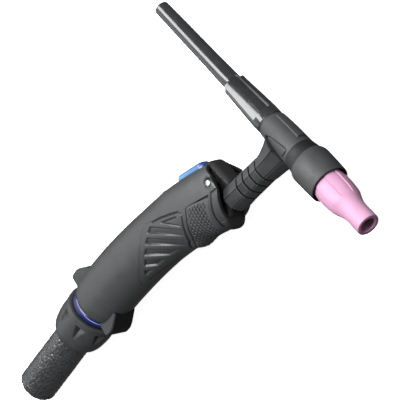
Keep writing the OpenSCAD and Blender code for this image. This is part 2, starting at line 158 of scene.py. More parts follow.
def make_object(name, points, faces, painted_shade=None, crease=CREASE):
    """A mesh object from points in mm, with an optional 0 to 1 value of painted shade for each point."""
    mesh = bpy.data.meshes.new(name)
    mesh.from_pydata([tuple(p) for p in np.asarray(points, float) * MM], [], faces)
    mesh.validate()
    work = bmesh.new()
    work.from_mesh(mesh)
    bmesh.ops.recalc_face_normals(work, faces=work.faces)
    work.to_mesh(mesh)
    work.free()
    if painted_shade is not None:
        # point values of painted shade, 0 to 1
        layer = mesh.attributes.new("painted_shade", "FLOAT", "POINT")
        layer.data.foreach_set("value", np.asarray(painted_shade, np.float32).ravel())
    mesh.polygons.foreach_set("use_smooth", np.ones(len(mesh.polygons), bool))
    mesh.set_sharp_from_angle(angle=crease)
    obj = bpy.data.objects.new(name, mesh)
    scene.collection.objects.link(obj)
    return obj


def grid_faces(rows, columns, first=0, closed=False):
    """Quads of a rows x columns grid of points. closed joins the last column to the first."""
    faces = []
    for i in range(rows - 1):
        for j in range(columns if closed else columns - 1):
            k = (j + 1) % columns
            a, b = first + i * columns, first + (i + 1) * columns
            faces.append((a + j, a + k, b + k, b + j))
    return faces


def looped_faces(rows, columns):
    """Quads through closed rings of points, with the last ring joined to the first."""
    last = (rows - 1) * columns
    return grid_faces(rows, columns, closed=True) + [
        (last + j, last + (j + 1) % columns, (j + 1) % columns, j) for j in range(columns)]


def lathe(name, axis, profile, angles=96, shape=None, painted_shade=None, crease=CREASE):
    """A turned piece. profile holds (station, radius) in mm and closes on itself. angles is a
    count or an array of degrees. shape(station, angle, radius) gives the radius to add, and
    the shade function, called the same way, gives the painted shade."""
    points = np.array(profile, float)
    turn = np.arange(angles) * 360 / angles if np.isscalar(angles) else angles
    d, a = np.meshgrid(points[:, 0], turn, indexing="ij")
    r = np.repeat(points[:, 1:2], len(turn), axis=1)
    extra = shape(d, a, r) if shape else 0
    shade = painted_shade(d, a, r) if painted_shade else None
    where = axis.point(d, np.maximum(r + extra, LEAST_RADIUS), a).reshape(-1, 3)
    return make_object(name, where, looped_faces(*d.shape), shade, crease)


def loft(name, rings, painted_shade=None, crease=CREASE):
    """A skin through closed rings of equally many points in mm, flat at both ends."""
    rings = np.asarray(rings, float)
    rows, columns = rings.shape[:2]
    faces = grid_faces(rows, columns, closed=True)
    faces += [tuple(range(columns)), tuple((rows - 1) * columns + j for j in range(columns))]
    shade = None if painted_shade is None else np.asarray(painted_shade).reshape(-1)
    return make_object(name, rings.reshape(-1, 3), faces, shade, crease)


def place(obj, body, slot, *replaced, finish=None):
    """Gives a piece its body, its finish slot and the CAD nodes that it stands for. Its material is
    the slot's own unless finish names another."""
    obj.data.materials.clear()
    obj.data.materials.append(M[finish or slot])
    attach(obj, body)
    if replaced:
        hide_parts(*replaced)


# ---- materials
NOISE_LOW, NOISE_HIGH, NOISE_ROUGHNESS = 0.35, 0.65, 0.6
BROAD_DETAIL, FINE_DETAIL = 4.0, 2.0
SCATTER_RADIUS = (0.002, 0.0012, 0.0015)
M = {}  # every finish by its name, most of which are the CAD's own slots


def node(tree, kind, **values):
    """A shader node whose inputs or settings take the given values."""
    out = tree.nodes.new(kind)
    for key, value in values.items():
        if key in out.inputs:
            out.inputs[key].default_value = value
        else:
            setattr(out, key, value)
    return out


def tinted(tree, factor, low, high):
    """Mixes by factor from low, a colour or another mix, to the colour high."""
    mix = node(tree, "ShaderNodeMix", data_type="RGBA")
    tree.links.new(factor, mix.inputs["Factor"])
    if isinstance(low, tuple):
        mix.inputs["A"].default_value = (*low, 1)
    else:
        tree.links.new(low, mix.inputs["A"])
    mix.inputs["B"].default_value = (*high, 1)
    return mix.outputs["Result"]


def remap(tree, value, low, high):
    """Spreads the middle of a noise over low to high."""
    out = node(tree, "ShaderNodeMapRange", **{
        "From Min": NOISE_LOW, "From Max": NOISE_HIGH, "To Min": low, "To Max": high})
    tree.links.new(value, out.inputs["Value"])
    return out.outputs["Result"]


def noise(tree, coords, size, detail, stretch=None):
    """Noise whose features are size mm across."""
    source = coords
    if stretch is not None:
        mapping = node(tree, "ShaderNodeMapping", Scale=stretch)
        tree.links.new(coords, mapping.inputs["Vector"])
        source = mapping.outputs["Vector"]
    out = node(tree, "ShaderNodeTexNoise", Scale=1 / (size * MM), Detail=detail,
               Roughness=NOISE_ROUGHNESS)
    tree.links.new(source, out.inputs["Vector"])
    return out.outputs["Fac"]


def surface(name, colour, rough, metallic=0.0, vary=0.12, mottle=9.0, grain=0.5, bump=0.03,
            rough_vary=0.08, painted_shade=None, coat=0.0, stretch=None, specular=0.5, coat_rough=0.08,
            scattering=0.0):
    """A procedural finish: mottled colour, uneven gloss and a fine surface grain, in mm. Its shade
    colour is painted shade, mixed in by the mesh's own point values of painted shade."""
    mat = bpy.data.materials.new(name)
    mat.use_nodes = True
    tree = mat.node_tree
    tree.nodes.clear()
    out = node(tree, "ShaderNodeOutputMaterial")
    shader = node(tree, "ShaderNodeBsdfPrincipled", **{
        "Metallic": metallic, "Coat Weight": coat, "Coat Roughness": coat_rough,
        "Specular IOR Level": specular})
    if scattering:
        shader.inputs["Subsurface Weight"].default_value = scattering
        shader.inputs["Subsurface Radius"].default_value = SCATTER_RADIUS
        shader.inputs["Subsurface Scale"].default_value = 1.0
    tree.links.new(shader.outputs["BSDF"], out.inputs["Surface"])
    coords = node(tree, "ShaderNodeTexCoord").outputs["Object"]
    broad = noise(tree, coords, mottle, BROAD_DETAIL, stretch)
    fine = noise(tree, coords, grain, FINE_DETAIL, stretch)
    dark = tuple(c * (1 - vary) for c in colour)
    light = tuple(min(1, c * (1 + vary)) for c in colour)
    tint = tinted(tree, remap(tree, broad, 0, 1), dark, light)
    # painted shade: the mesh's point values darken the colour towards the shade colour
    if painted_shade:
        layer = node(tree, "ShaderNodeAttribute", attribute_name="painted_shade")
        tint = tinted(tree, layer.outputs["Fac"], tint, painted_shade)
    tree.links.new(tint, shader.inputs["Base Color"])
    gloss = remap(tree, broad, max(0.02, rough - rough_vary), min(1, rough + rough_vary))
    tree.links.new(gloss, shader.inputs["Roughness"])
    relief = node(tree, "ShaderNodeBump", Strength=1.0, Distance=bump * MM)
    tree.links.new(fine, relief.inputs["Height"])
    tree.links.new(relief.outputs["Normal"], shader.inputs["Normal"])
    M[name] = mat
    return mat


def grey(level, tint=(1.0, 1.0, 1.0)):
    return tuple(level * t for t in tint)


COOL = (0.97, 1.0, 1.03)
surface("head_plastic", grey(0.034, COOL), 0.62, painted_shade=grey(0.003), bump=0.02, vary=0.05,
        specular=0.35)
surface("neck_rubber", grey(0.028, COOL), 0.46, painted_shade=grey(0.003), bump=0.02, grain=0.7)
surface("cap_plastic", grey(0.022, COOL), 0.2, painted_shade=grey(0.002), bump=0.003, coat=0.35,
        rough_vary=0.05)
surface("black_rubber", grey(0.01), 0.55, bump=0.02)
surface("ceramic", (0.46, 0.24, 0.355), 0.5, vary=0.05, mottle=14, grain=0.35, bump=0.012,
        painted_shade=(0.16, 0.06, 0.10), specular=0.3, scattering=0.15)
surface("seal", (0.8, 0.78, 0.7), 0.45, vary=0.04, bump=0.01)
surface("brass", (0.72, 0.5, 0.2), 0.26, metallic=1, vary=0.1, bump=0.006, stretch=(1, 1, 6))
surface("copper", (0.7, 0.38, 0.24), 0.3, metallic=1, vary=0.12, bump=0.008)
surface("tungsten", (0.42, 0.42, 0.43), 0.34, metallic=1, vary=0.1, grain=0.15, bump=0.004)
surface("steel", (0.78, 0.78, 0.8), 0.2, metallic=1, vary=0.05, grain=0.3, bump=0.003)
surface("screw_steel", (0.62, 0.62, 0.64), 0.35, metallic=0.6, vary=0.04, grain=0.3, bump=0.003)
surface("shell_plastic", grey(0.043, COOL), 0.44, painted_shade=grey(0.004), bump=0.028, grain=0.45,
        vary=0.05, rough_vary=0.03)
# painted shade: a near-black copy of the neck's rubber for the gaps between rings
surface("neck_rubber_painted_shade", grey(0.004), 0.8, bump=0.02, specular=0.15)
surface("grip_rubber", grey(0.044, COOL), 0.6, painted_shade=grey(0.004), bump=0.03, grain=0.6)
surface("nose_rubber", (0.0095, 0.0080, 0.0076), 0.72, painted_shade=grey(0.0012), bump=0.03, specular=0.3)
# painted highlight: a pale copy of the hood's rubber for the bright line along its edge bead
surface("bead_painted_highlight", (0.085, 0.07, 0.068), 0.5, bump=0.01)
surface("bezel_plastic", grey(0.03, COOL), 0.42, painted_shade=grey(0.003), bump=0.015)
surface("white_plastic", grey(0.7), 0.4, vary=0.03, bump=0.01)
surface("switch_black", grey(0.016), 0.45, bump=0.015)
surface("board_green", (0.02, 0.12, 0.05), 0.35, vary=0.2, mottle=2, bump=0.01)
surface("led_white", (0.8, 0.9, 1.0), 0.15, vary=0.02, bump=0.002)
surface("clamp_plastic", grey(0.09), 0.5, bump=0.02)
surface("hose_rubber", grey(0.013), 0.5, bump=0.03, grain=0.8)
surface("bush_plastic", grey(0.005, COOL), 0.5, painted_shade=grey(0.0015), bump=0.02, specular=0.25)
# painted light: a lighter copy of the bush's plastic for the lugs' faces across z
surface("bush_painted_light", grey(0.03, COOL), 0.45, vary=0.08, bump=0.012)
surface("nut_plastic", grey(0.04, COOL), 0.46, painted_shade=grey(0.0025), bump=0.022, grain=0.45)
surface("leather", grey(0.032, COOL), 0.36, vary=0.2, mottle=3.0, grain=0.6, bump=0.14,
        rough_vary=0.1, painted_shade=grey(0.002), coat=0.6, coat_rough=0.14)


def painted_light_finish(name, body, painted_light, strength, rough=0.35):
    """A translucent plastic with painted light: point values pick an emitted colour, a painted highlight that
    falls off into painted shade.
    """
    mat = surface(name, body, rough, vary=0.06, bump=0.004, coat=0.1)
    tree = mat.node_tree
    shader = next(n for n in tree.nodes if n.type == "BSDF_PRINCIPLED")
    layer = node(tree, "ShaderNodeAttribute", attribute_name="painted_light")
    stops = node(tree, "ShaderNodeValToRGB")
    ramp = stops.color_ramp
    ramp.elements[0].color = (*painted_light[0], 1)
    ramp.elements[1].color = (*painted_light[-1], 1)
    for k, colour in enumerate(painted_light[1:-1], 1):
        ramp.elements.new(k / (len(painted_light) - 1)).color = (*colour, 1)
    tree.links.new(layer.outputs["Fac"], stops.inputs["Fac"])
    # painted light: the emission stands in for highlight and shade on the lens
    tree.links.new(stops.outputs["Color"], shader.inputs["Emission Color"])
    shader.inputs["Emission Strength"].default_value = strength
    return mat


def set_painted_light(obj, values):
    layer = obj.data.attributes.new("painted_light", "FLOAT", "POINT")
    layer.data.foreach_set("value", np.asarray(values, np.float32).ravel())


# painted highlight, as emission, on the button's lens and the light ring's lens
painted_light_finish("button_lens", (0.006, 0.014, 0.04),
        [(0.002, 0.008, 0.04), (0.03, 0.11, 0.42), (0.15, 0.45, 0.8), (0.6, 0.95, 1)], 0.9)
painted_light_finish("ring_lens", (0.006, 0.008, 0.05),
        [(0.0, 0.0, 0.01), (0.0, 0.005, 0.07), (0.01, 0.04, 0.3), (0.8, 0.92, 1)], 1.0)


# ---- handle surface
# On the handle u is the distance along it from its rear end, n the height and z the depth of a
# point, and s the distance round it from the top seam, all in mm.
HANDLE_CURVE = 500.0
OVAL_POWER = 2.2
WALL = 2.4
HEIGHT_U, HEIGHT = (0, 3, 8, 40, 80, 100, 112, 126, 150, 165), (
    15.6, 17.2, 18.2, 18.6, 18.7, 19.4, 20.6, 20.7, 20, 19.2)
DEPTH_U, DEPTH = (0, 3, 8, 80, 100, 112, 126, 138, 150, 158, 165), (
    15.6, 16.6, 17, 17, 17.2, 17.4, 17.3, 16.9, 16.0, 15.0, 14.2)
HANDLE_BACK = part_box("handle_shell_upper")[0][0] / MM
CABLE_Y = CABLE_BASE[1]
BUTTON_U = 130.0
MEAN_A, MEAN_B = 19.3, 17.1
TOP_FLAT = 17.4

ARC_T = np.linspace(0, math.pi, 2001)
FINE = 8  # cells of an outer skin to each cell of the inner one


def oval(t, a, b):
    """Half of the handle's cross-section, as (height, depth) at angle t from its top."""
    c, s = np.cos(t), np.sin(t)
    return (a * np.sign(c) * np.abs(c) ** (2 / OVAL_POWER), b * np.abs(s) ** (2 / OVAL_POWER))


mean_n, mean_z = oval(ARC_T, MEAN_A, MEAN_B)
ARC_S = np.concatenate([[0], np.cumsum(np.hypot(np.diff(mean_n), np.diff(mean_z)))])


def half_height(u):
    return np.interp(u, HEIGHT_U, HEIGHT)


def half_depth(u):
    return np.interp(u, DEPTH_U, DEPTH)


def arc_scale(u):
    """Size of the cross-section at u beside the mean one."""
    return (half_height(u) + half_depth(u)) / (MEAN_A + MEAN_B)


def arc_of(u, n):
    """Distance round the handle from its top seam to height n."""
    ratio = np.clip(np.divide(n, half_height(u)), -1, 1)
    t = np.arccos(np.sign(ratio) * np.abs(ratio) ** (OVAL_POWER / 2))
    return np.interp(t, ARC_T, ARC_S) * arc_scale(u)


def angle_at(u, s):
    """Angle in the cross-section at u of distance s round it."""
    return np.interp(s / arc_scale(u), ARC_S, ARC_T)


def on_map(points, step=1.5):
    """Points given as (u, n) turned into distances along and round the handle."""
    return [(u, float(arc_of(u, n))) for u, n in subdivide(points, step)]


def handle_point(u, n, z):
    """The point in mm at distance u along the curved handle, height n and depth z."""
    turn = np.asarray(u) / HANDLE_CURVE
    x = HANDLE_BACK + HANDLE_CURVE * np.sin(turn) + n * np.sin(turn)
    y = CABLE_Y - HANDLE_CURVE * (1 - np.cos(turn)) + n * np.cos(turn)
    return np.stack([x, y, CROSS[2] + z * np.ones_like(x)], axis=-1)


def top_limit(u):
    """Height of the flat under the button; far above the handle elsewhere."""
    return TOP_FLAT + 5 * (1 - smooth(92, 114, u) * (1 - smooth(154, 160, u)))


def to_handle(point):
    """Position along the handle, height and depth of a point in mm."""
    dx, dy = point[0] - HANDLE_BACK, point[1] - (CABLE_Y - HANDLE_CURVE)
    return math.atan2(dx, dy) * HANDLE_CURVE, math.hypot(dx, dy) - HANDLE_CURVE, point[2] - CROSS[2]


def skin_point(u, s, lift, side):
    """A point on the handle at distance s round it, raised by lift along the surface normal."""
    a, b = half_height(u), half_depth(u)
    n, z = oval(angle_at(u, s), a, b)
    gn = np.sign(n) * (np.abs(n) / a) ** (OVAL_POWER - 1) / a
    gz = (z / b) ** (OVAL_POWER - 1) / b
    size = np.hypot(gn, gz)
    n = np.minimum(n + lift * gn / size, top_limit(u) + np.minimum(lift, 0))
    return handle_point(u, n, side * (z + lift * gz / size))


# Lines on the handle as (distance along it, height): positive heights are the button's side.
FRONT_EDGE = [(152.5, 20.5), (153.6, 15.6), (155.9, 12.8), (158.2, 10.4), (160.2, 4.6),
              (161.4, 0.6), (160.2, -4), (158.2, -9.8), (155.6, -15.6), (153.4, -18.5), (152, -20.3)]
NOSE_GROOVE = [(160.9, 0.2), (156, -0.6), (153.6, -5.6), (150.9, -10.3), (149, -13.9),
               (147.2, -17.6), (145.4, -19.6), (144.6, -20.4)]
PAD_TOP = [(151.1, -0.7), (132, -1.0)]
PAD_REAR = [(132, -1.0), (130.5, -1.6), (129.2, -3.7), (127.6, -6.6), (123.6, -11.9),
            (119.4, -17), (114.5, -19.6), (109.5, -20.6)]
PANEL_FRONT = [(95.9, 4.1), (104.8, 2.9), (114.3, 1.1), (123.0, -0.7), (125.2, -3.3),
               (122.6, -7.7), (118.7, -13.1), (114.5, -17.7), (107, -20)]
PANEL_REAR = [(95.9, 4.1), (88, 6.3), (82.8, 1.7), (79.2, -1.7), (72.9, -6.5), (66.2, -11.3),
              (50.8, -17.7)]
PANEL_FOOT = [(58.9, -18.1), (91.4, -18.9)]
ARROW = [(119.5, -2.6), (105, 0), (118.9, -8.3)]
SLOT_TILT = math.radians(-28.3)
SLOT_REAR_TILT = math.radians(31)
SLOTS = [(90, 1.6, 44.5), (84, -2.5, 37.4), (77.5, -7, 30.3), (70.5, -11.5, 23.2),
         (62, -15.5, 16.1)]
SLOT_FOOT = [(92, -18.6), (64, -18.2)]
SLOT_HALF, SLOT_CORNER, SLOT_DEPTH, PANEL_MARGIN = 2.5, 1.2, 1.5, 1.5
SCREW_AT = (156.0, 6.1)
SCREW_WELL, SCREW_WELL_DEPTH = 2.7, 1.9
PAD_STEP_BACK, PAD_RECESS = 2.2, 1.3
GROOVES = [  # line, half width, depth, depth at which the painted shade in it is full
    (NOSE_GROOVE, 0.62, 0.7, 0.6), (PANEL_FRONT, 0.62, 0.7, 0.6), (PANEL_REAR, 1.0, 0.16, 1 / 1.2),
    (PANEL_FOOT, 0.7, 0.3, 0.7), (ARROW, 0.5, 0.55, 0.55)]
HEEL_AT, HEEL_LENGTH, HEEL_LIFT, FLARE_LIFT = 115.5, 7.5, 2.0, 1.6


def base_lift(u, s):
    """Broad swellings of the moulding, shared by the shells and the grip pads."""
    foot = arc_of(u, -half_height(u))
    low = smooth(foot - 15, foot - 1.5, s)
    heel = np.exp(-(((u - HEEL_AT) / HEEL_LENGTH) ** 2)) * smooth(foot - 11, foot - 1.5, s)
    flare = smooth(122, 142, u) * (1 - smooth(145.5, 153, u))
    return HEEL_LIFT * heel + FLARE_LIFT * flare * low


def groove(u, s, points, half_width, depth):
    """Depth of a round-bottomed groove along a line."""
    distance = line_distance(u, s, on_map(points))
    return depth * (1 - smooth(half_width * 0.45, half_width * 1.25, distance))


def slot_relief(u, n):
    """Depth and painted shade of the row of slanted grip slots."""
    along = np.array([math.cos(SLOT_TILT), math.sin(SLOT_TILT)])
    across = np.array([-along[1], along[0]])
    rear = np.array([math.sin(SLOT_REAR_TILT), -math.cos(SLOT_REAR_TILT)])
    ring = PANEL_FRONT + SLOT_FOOT + PANEL_REAR[:0:-1]
    inside = polygon_depth(u, n, ring) - PANEL_MARGIN
    depth = np.zeros(np.shape(u))
    shade = np.zeros(np.shape(u))
    for u0, n0, middle in SLOTS:
        q = (u - u0) * along[0] + (n - n0) * along[1]
        p = u * across[0] + n * across[1] - middle
        band = SLOT_HALF - np.abs(p)
        start = (u - u0) * rear[0] + (n - n0) * rear[1]
        corner = np.minimum(band, start) - SLOT_CORNER
        outside = np.hypot(np.minimum(band - SLOT_CORNER, 0), np.minimum(start - SLOT_CORNER, 0))
        edge = SLOT_CORNER + np.where(corner < 0, -outside, corner)
        edge = np.minimum(edge, inside)
        fade = 1 - 0.8 * smooth(6, 34, q)
        lower = 0.6 + 0.4 * smooth(1.5, -2.2, p)
        wall = smooth(0, 0.9, edge)
        depth = np.maximum(depth, SLOT_DEPTH * fade * lower * wall)
        rim = wall * (1 - smooth(0.5, 1.6, edge)) * smooth(1.5, -1.0, np.minimum(p, start - 2))
        # painted shade in each slot, strongest along its rim at the rear end and on its lower side
        dark = np.maximum(0.35 * smooth(1.0, -2.4, p), 0.9 * rim)
        shade = np.maximum(shade, fade * wall * dark)
    return depth, shade


def shell_relief(u, s, n, edge_gap):
    """Lift and painted shade of the shells' outer skin: painted shade in the grooves, slots, pad recess, screw
    well and seam.
    """
    # painted shade in each groove, full once the groove is as deep as its last column says
    cuts = [groove(u, s, line, half, deep) for line, half, deep, _ in GROOVES]
    depth = np.maximum.reduce(cuts)
    darks = [cut / black for cut, (_, _, _, black) in zip(cuts, GROOVES)]
    shade = np.clip(np.maximum.reduce(darks), 0, 1)
    slot_depth, slot_shade = slot_relief(u, n)
    depth, shade = np.maximum(depth, slot_depth), np.maximum(shade, slot_shade)
    # painted shade over the recess under the grip pad
    recess = smooth(-0.05, 0.3, polygon_depth(u, s, on_map(PAD_OUTLINE)))
    depth, shade = np.maximum(depth, PAD_RECESS * recess), np.maximum(shade, recess)
    from_screw = np.hypot(u - SCREW_AT[0], s - float(arc_of(*SCREW_AT)))
    # painted shade in the screw's well
    well = 1 - smooth(SCREW_WELL, SCREW_WELL + 0.4, from_screw)
    lip = smooth(2.9, 3.2, from_screw) * (1 - smooth(3.5, 4.2, from_screw))
    depth, shade = np.maximum(depth, SCREW_WELL_DEPTH * well), np.maximum(shade, well)
    foot = arc_of(u, -half_height(u))
    strip = (1 - smooth(2.0, 2.5, s)) * smooth(58, 62, u) * (1 - smooth(113, 115.5, u))
    # a shallow groove at the seam between the halves, with painted shade in it
    seam = 0.22 * (1 - smooth(0.12, 0.4, np.minimum(s, foot - s)))
    curl = 0.4 * (1 - smooth(0, 0.8, edge_gap)) ** 2 + 0.5 * (1 - smooth(0, 1.2, u))
    lift = base_lift(u, s) + 0.5 * strip + 0.25 * lip - depth - seam - curl
    return lift, np.clip(shade + 1.4 * seam, 0, 1)


front_u, front_n = np.array(FRONT_EDGE).T
PAD_FRONT = [(u - PAD_STEP_BACK, n) for u, n in NOSE_GROOVE[1:]]
PAD_OUTLINE = [(PAD_FRONT[0][0], -0.75)] + PAD_TOP[1:] + PAD_REAR[1:]
PAD_OUTLINE += [(143.8 - PAD_STEP_BACK, -20.6)] + PAD_FRONT[:0:-1]
END_AT = 157.0
FAR_SIDE_BACK = 2.4


def shell_end(s):
    """Where the shell stops at its front, at distance s round the handle."""
    n = oval(angle_at(END_AT, s), half_height(END_AT), half_depth(END_AT))[0]
    return np.interp(-n, -front_n, front_u)


def double_skin(name, outer, inner, shade):
    """A moulding from a fine outer sheet and a coarse inner one, joined round their rims."""
    rows, columns = outer.shape[:2]
    inner_rows, inner_columns = inner.shape[:2]
    first = rows * columns
    faces = grid_faces(rows, columns) + grid_faces(inner_rows, inner_columns, first)
    for j in range(inner_columns - 1):
        for i, row in ((0, 0), (rows - 1, inner_rows - 1)):
            at = first + row * inner_columns + j
            faces.append(tuple(i * columns + j * FINE + k for k in range(FINE + 1)) + (at + 1, at))
    for i in range(inner_rows - 1):
        for j, column in ((0, 0), (columns - 1, inner_columns - 1)):
            at = first + i * inner_columns + column
            faces.append(tuple((i * FINE + k) * columns + j for k in range(FINE + 1))
                         + (at + inner_columns, at))
    points = np.concatenate([outer.reshape(-1, 3), inner.reshape(-1, 3)])
    # the inner sheet carries full painted shade, and the rims blend to it
    dark = np.concatenate([shade.ravel(), np.ones(len(points) - first)])
    return make_object(name, points, faces, dark)


def shell_skin(name, side, cells_along=56, cells_round=21):
    """One moulded half of the handle's shell."""
    def sheet(rows, columns):
        share = np.linspace(0, 1, columns)
        end = shell_end(share * ARC_S[-1] * arc_scale(END_AT))
        if side < 0:
            end = end - FAR_SIDE_BACK
        u = np.linspace(0, 1, rows)[:, None] * end[None, :]
        return u, share[None, :] * ARC_S[-1] * arc_scale(u), end[None, :] - u

    u, s, gap = sheet(cells_along * FINE + 1, cells_round * FINE + 1)
    n = oval(angle_at(u, s), half_height(u), half_depth(u))[0]
    lift, shade = shell_relief(u, s, n, gap)
    # painted shade on the shell's front rim, which hides its highlight
    shade[-2:] = np.maximum(shade[-2:], 0.8)
    outer = skin_point(u, s, lift, side)
    u, s, gap = sheet(cells_along + 1, cells_round + 1)
    inner = skin_point(u, s, np.full_like(u, -WALL), side)
    return double_skin(name, outer, inner, shade)


SCALE_COLUMN, SCALE_WIDTH, SCALE_TIP, SCALE_SKEW = 2.6, 2.3, 1.12, 0.2
SCALE_BASE, SCALE_HEIGHT, SCALE_SLOPE = -0.1, 0.24, 0.14
PAD_GAP, PAD_THICK = 0.34, 1.1


def scale_relief(u, s):
    """Height of overlapping scales whose round free edges point forward."""
    column = np.round(u / SCALE_COLUMN)
    best = np.full(np.shape(u), SCALE_BASE)
    for dc in (-1, 0, 1):
        c = column + dc
        shift = np.mod(c, 2) * SCALE_WIDTH / 2 - c * SCALE_SKEW
        ahead = u - c * SCALE_COLUMN
        aside = np.mod(s - shift + SCALE_WIDTH / 2, SCALE_WIDTH) - SCALE_WIDTH / 2
        inside = np.hypot(np.maximum(ahead, 0), aside) < SCALE_TIP
        scale = np.where(inside, SCALE_HEIGHT + SCALE_SLOPE * ahead, SCALE_BASE)
        best = np.maximum(best, scale)
    return best


def pad_skin(name, side, rows=193, columns=145):
    """A soft grip pad set into the shell, with moulded scales."""
    rear = np.array(on_map(PAD_REAR, 0.8))
    front = np.array(on_map(PAD_FRONT, 0.8))
    top = float(arc_of(140, -0.9)) + PAD_GAP
    foot = float(arc_of(130, -20.65)) - 0.15
    s_line = np.linspace(top, foot, rows)
    start = (np.interp(s_line, rear[:, 1], rear[:, 0]) + PAD_GAP * 1.6)[:, None]
    end = (np.interp(s_line, front[:, 1], front[:, 0]) - PAD_GAP * 0.6)[:, None]
    x = np.linspace(0, 1, columns)[None, :]
    u = start * (1 - x) + end * x
    s = np.minimum(np.repeat(s_line[:, None], columns, axis=1), arc_of(u, -half_height(u)) - 0.05)
    edge = np.minimum.reduce([u - start, end - u, s - top, foot - s + 1.0])
    round_off = 0.55 * (1 - smooth(0, 0.8, edge)) ** 2
    field = smooth(1.0, 2.2, np.minimum.reduce([u - start, (end - 1.4) - u, s - top]))
    bumps = scale_relief(u, s)
    lift = base_lift(u, s) - round_off + field * (bumps - 0.2)
    # painted shadow just past each scale's free edge
    behind = scale_relief(u - 1.1, s)
    shadow = smooth(0.04, 0.2, behind - bumps)
    # painted shade along the pad's rear and top edges, where it meets the shell
    outline = np.minimum(u - start, s - top)
    shade = np.clip(field * shadow + (1 - smooth(0, 0.5, outline)) * 0.6, 0, 1)
    outer = skin_point(u, s, lift, side)
    coarse = (slice(None, None, FINE), slice(None, None, FINE))
    inner = skin_point(u[coarse], s[coarse], base_lift(u, s)[coarse] - PAD_THICK, side)
    return double_skin(name, outer, inner, shade)


for side, half in ((1, "upper"), (-1, "lower")):
    shell = shell_skin(f"shell_{half}", side)
    place(shell, "handle", "shell_plastic", f"handle_shell_{half}")
    pad = pad_skin(f"grip_{half}", side)
    place(pad, "handle", "grip_rubber", f"grip_pad_{half}")


# ---- back cap and nozzle
SECTORS, SECTOR_EDGE = 8, 0.7
SECTOR = 360 / SECTORS


def sector_angles(steps):
    """Angles of the eight ratchet-like sectors, close together at each step between them."""
    inner = np.linspace(SECTOR_EDGE, SECTOR - SECTOR_EDGE, steps)
    return np.concatenate([k * SECTOR + inner for k in range(SECTORS)])


def sector_share(angle):
    """0 at the low end of a sector and 1 at its high end."""
    return np.clip((np.mod(angle, SECTOR) - SECTOR_EDGE) / (SECTOR - 2 * SECTOR_EDGE), 0, 1)


def head_stations(node_name):
    """Stations along the head's axis of a CAD node's points, in mm."""
    points = np.array([v.co for v in frame["nodes"][node_name].data.vertices], float)
    return (points / MM - CROSS) @ HEAD_DIR


CAP_TIP = float(head_stations("back_cap").min()) + 0.01
FLUTE_FROM, FLUTE_TO = -59.7, -26.6
FLUTE_AT, FLUTE_HIGH = (-59.7, -50, -40, -26.6), (7.45, 7.9, 8.45, 9.1)
FLUTE_FALL = (1.65, 1.3)
CAP_FACE, CAP_BORE, CAP_TURN = -20.9, 5.0, 6.0


def flute(d, angle, r):
    """Ratchet-like facets round the front of the cap, each rising from low to high."""
    share = sector_share(angle - CAP_TURN)
    t = (d - FLUTE_FROM) / (FLUTE_TO - FLUTE_FROM)
    rise = smooth(-0.012, 0.012, t)
    high = np.interp(d, FLUTE_AT, FLUTE_HIGH)
    low = high - np.interp(t, (0, 1), FLUTE_FALL)
    turn, whole = np.radians(SECTOR) * share, np.radians(SECTOR)
    chord = low * high * np.sin(whole) / (low * np.sin(turn) + high * np.sin(whole - turn))
    body = (chord + low * (1 - share) + high * share) / 2
    inside = (t > -0.004) & (t < 1.001) & (r > CAP_BORE)
    return np.where(inside, (body - r) * rise, 0)


CAP_RADIUS, CAP_ROUND = 4.69, 1.49
cap_profile = [(CAP_TIP, 0.6)]
cap_profile += [(CAP_TIP + CAP_ROUND * (1 - math.cos(a)), CAP_RADIUS - CAP_ROUND * (1 - math.sin(a)))
                for a in np.radians(np.arange(0, 91, 15))]
cap_profile += [(-100, 5.12), (-80, 5.36), (-70, 5.6), (FLUTE_FROM - 0.5, 5.8),
                (FLUTE_FROM - 0.1, 5.8)]
cap_profile += [(FLUTE_FROM + 0.4 * k, 5.8) for k in range(1, 4)]
cap_profile += [(d, 6.5) for d in np.linspace(FLUTE_FROM + 2, FLUTE_TO - 0.2, 26)]
cap_profile += [(FLUTE_TO, 8.85), (FLUTE_TO + 0.4, 9.0), (-22.0, 9.0), (-21.2, 8.85),
                (CAP_FACE, 8.5), (CAP_FACE, 4.15), (-36, 4.15), (-36, 2.9), (CAP_TIP + 3.99, 2.9),
                (CAP_TIP + 3.99, 0.6)]
cap = lathe("back_cap_body", HEAD, cap_profile, sector_angles(9) + CAP_TURN, flute,
            crease=math.radians(24))
place(cap, "back_cap", "cap_plastic", "back_cap")

seal_ring = lathe("back_cap_o_ring", HEAD, [
    (-20.23 + 0.66 * math.cos(a), 8.2 + 0.55 * math.sin(a))
    for a in np.linspace(0, 2 * math.pi, 12, endpoint=False)], 72)
place(seal_ring, "back_cap_seal", "black_rubber", "back_cap_seal")

NOZZLE_TIP = float(head_stations("nozzle").max())
PAD_BACK, PAD_END = 30.0, 57.6
PAD_AT = (30, 40, 43, 49, 53.5, 56, 58.5)
PAD_RADIUS = (10.3, 10.32, 10.7, 10.75, 10.45, 10.2, 9.75)
PAD_RISE, PAD_SINK = 0.6, 0.14


def nozzle_pads(d, angle, r):
    """Eight raised pads round the cup, each rising towards its step."""
    share = sector_share(angle)
    t = (d - PAD_BACK) / (PAD_END - PAD_BACK)
    taper = 1 - smooth(0.97, 1.02, t)
    return np.where((r > 9.2) & (t < 1.03) & (t > 0.0), (PAD_RISE * share - PAD_SINK) * taper, 0)


def nozzle_shade(d, angle, r):
    """Painted shade at the pads' ends and steps and inside the mouth."""
    end = (np.abs(d - PAD_END - 0.2) < 0.5) & (sector_share(angle) > 0.8) & (r > 9)
    step = (sector_share(angle) < 0.03) & (d < PAD_END) & (d > PAD_BACK) & (r > 9)
    bore = smooth(5.6, 5.2, r) * smooth(NOZZLE_TIP - 2.5, NOZZLE_TIP - 8, d)
    return np.maximum(np.where(end, 0.6, 0) + np.where(step, 0.35, 0), bore * 0.9)


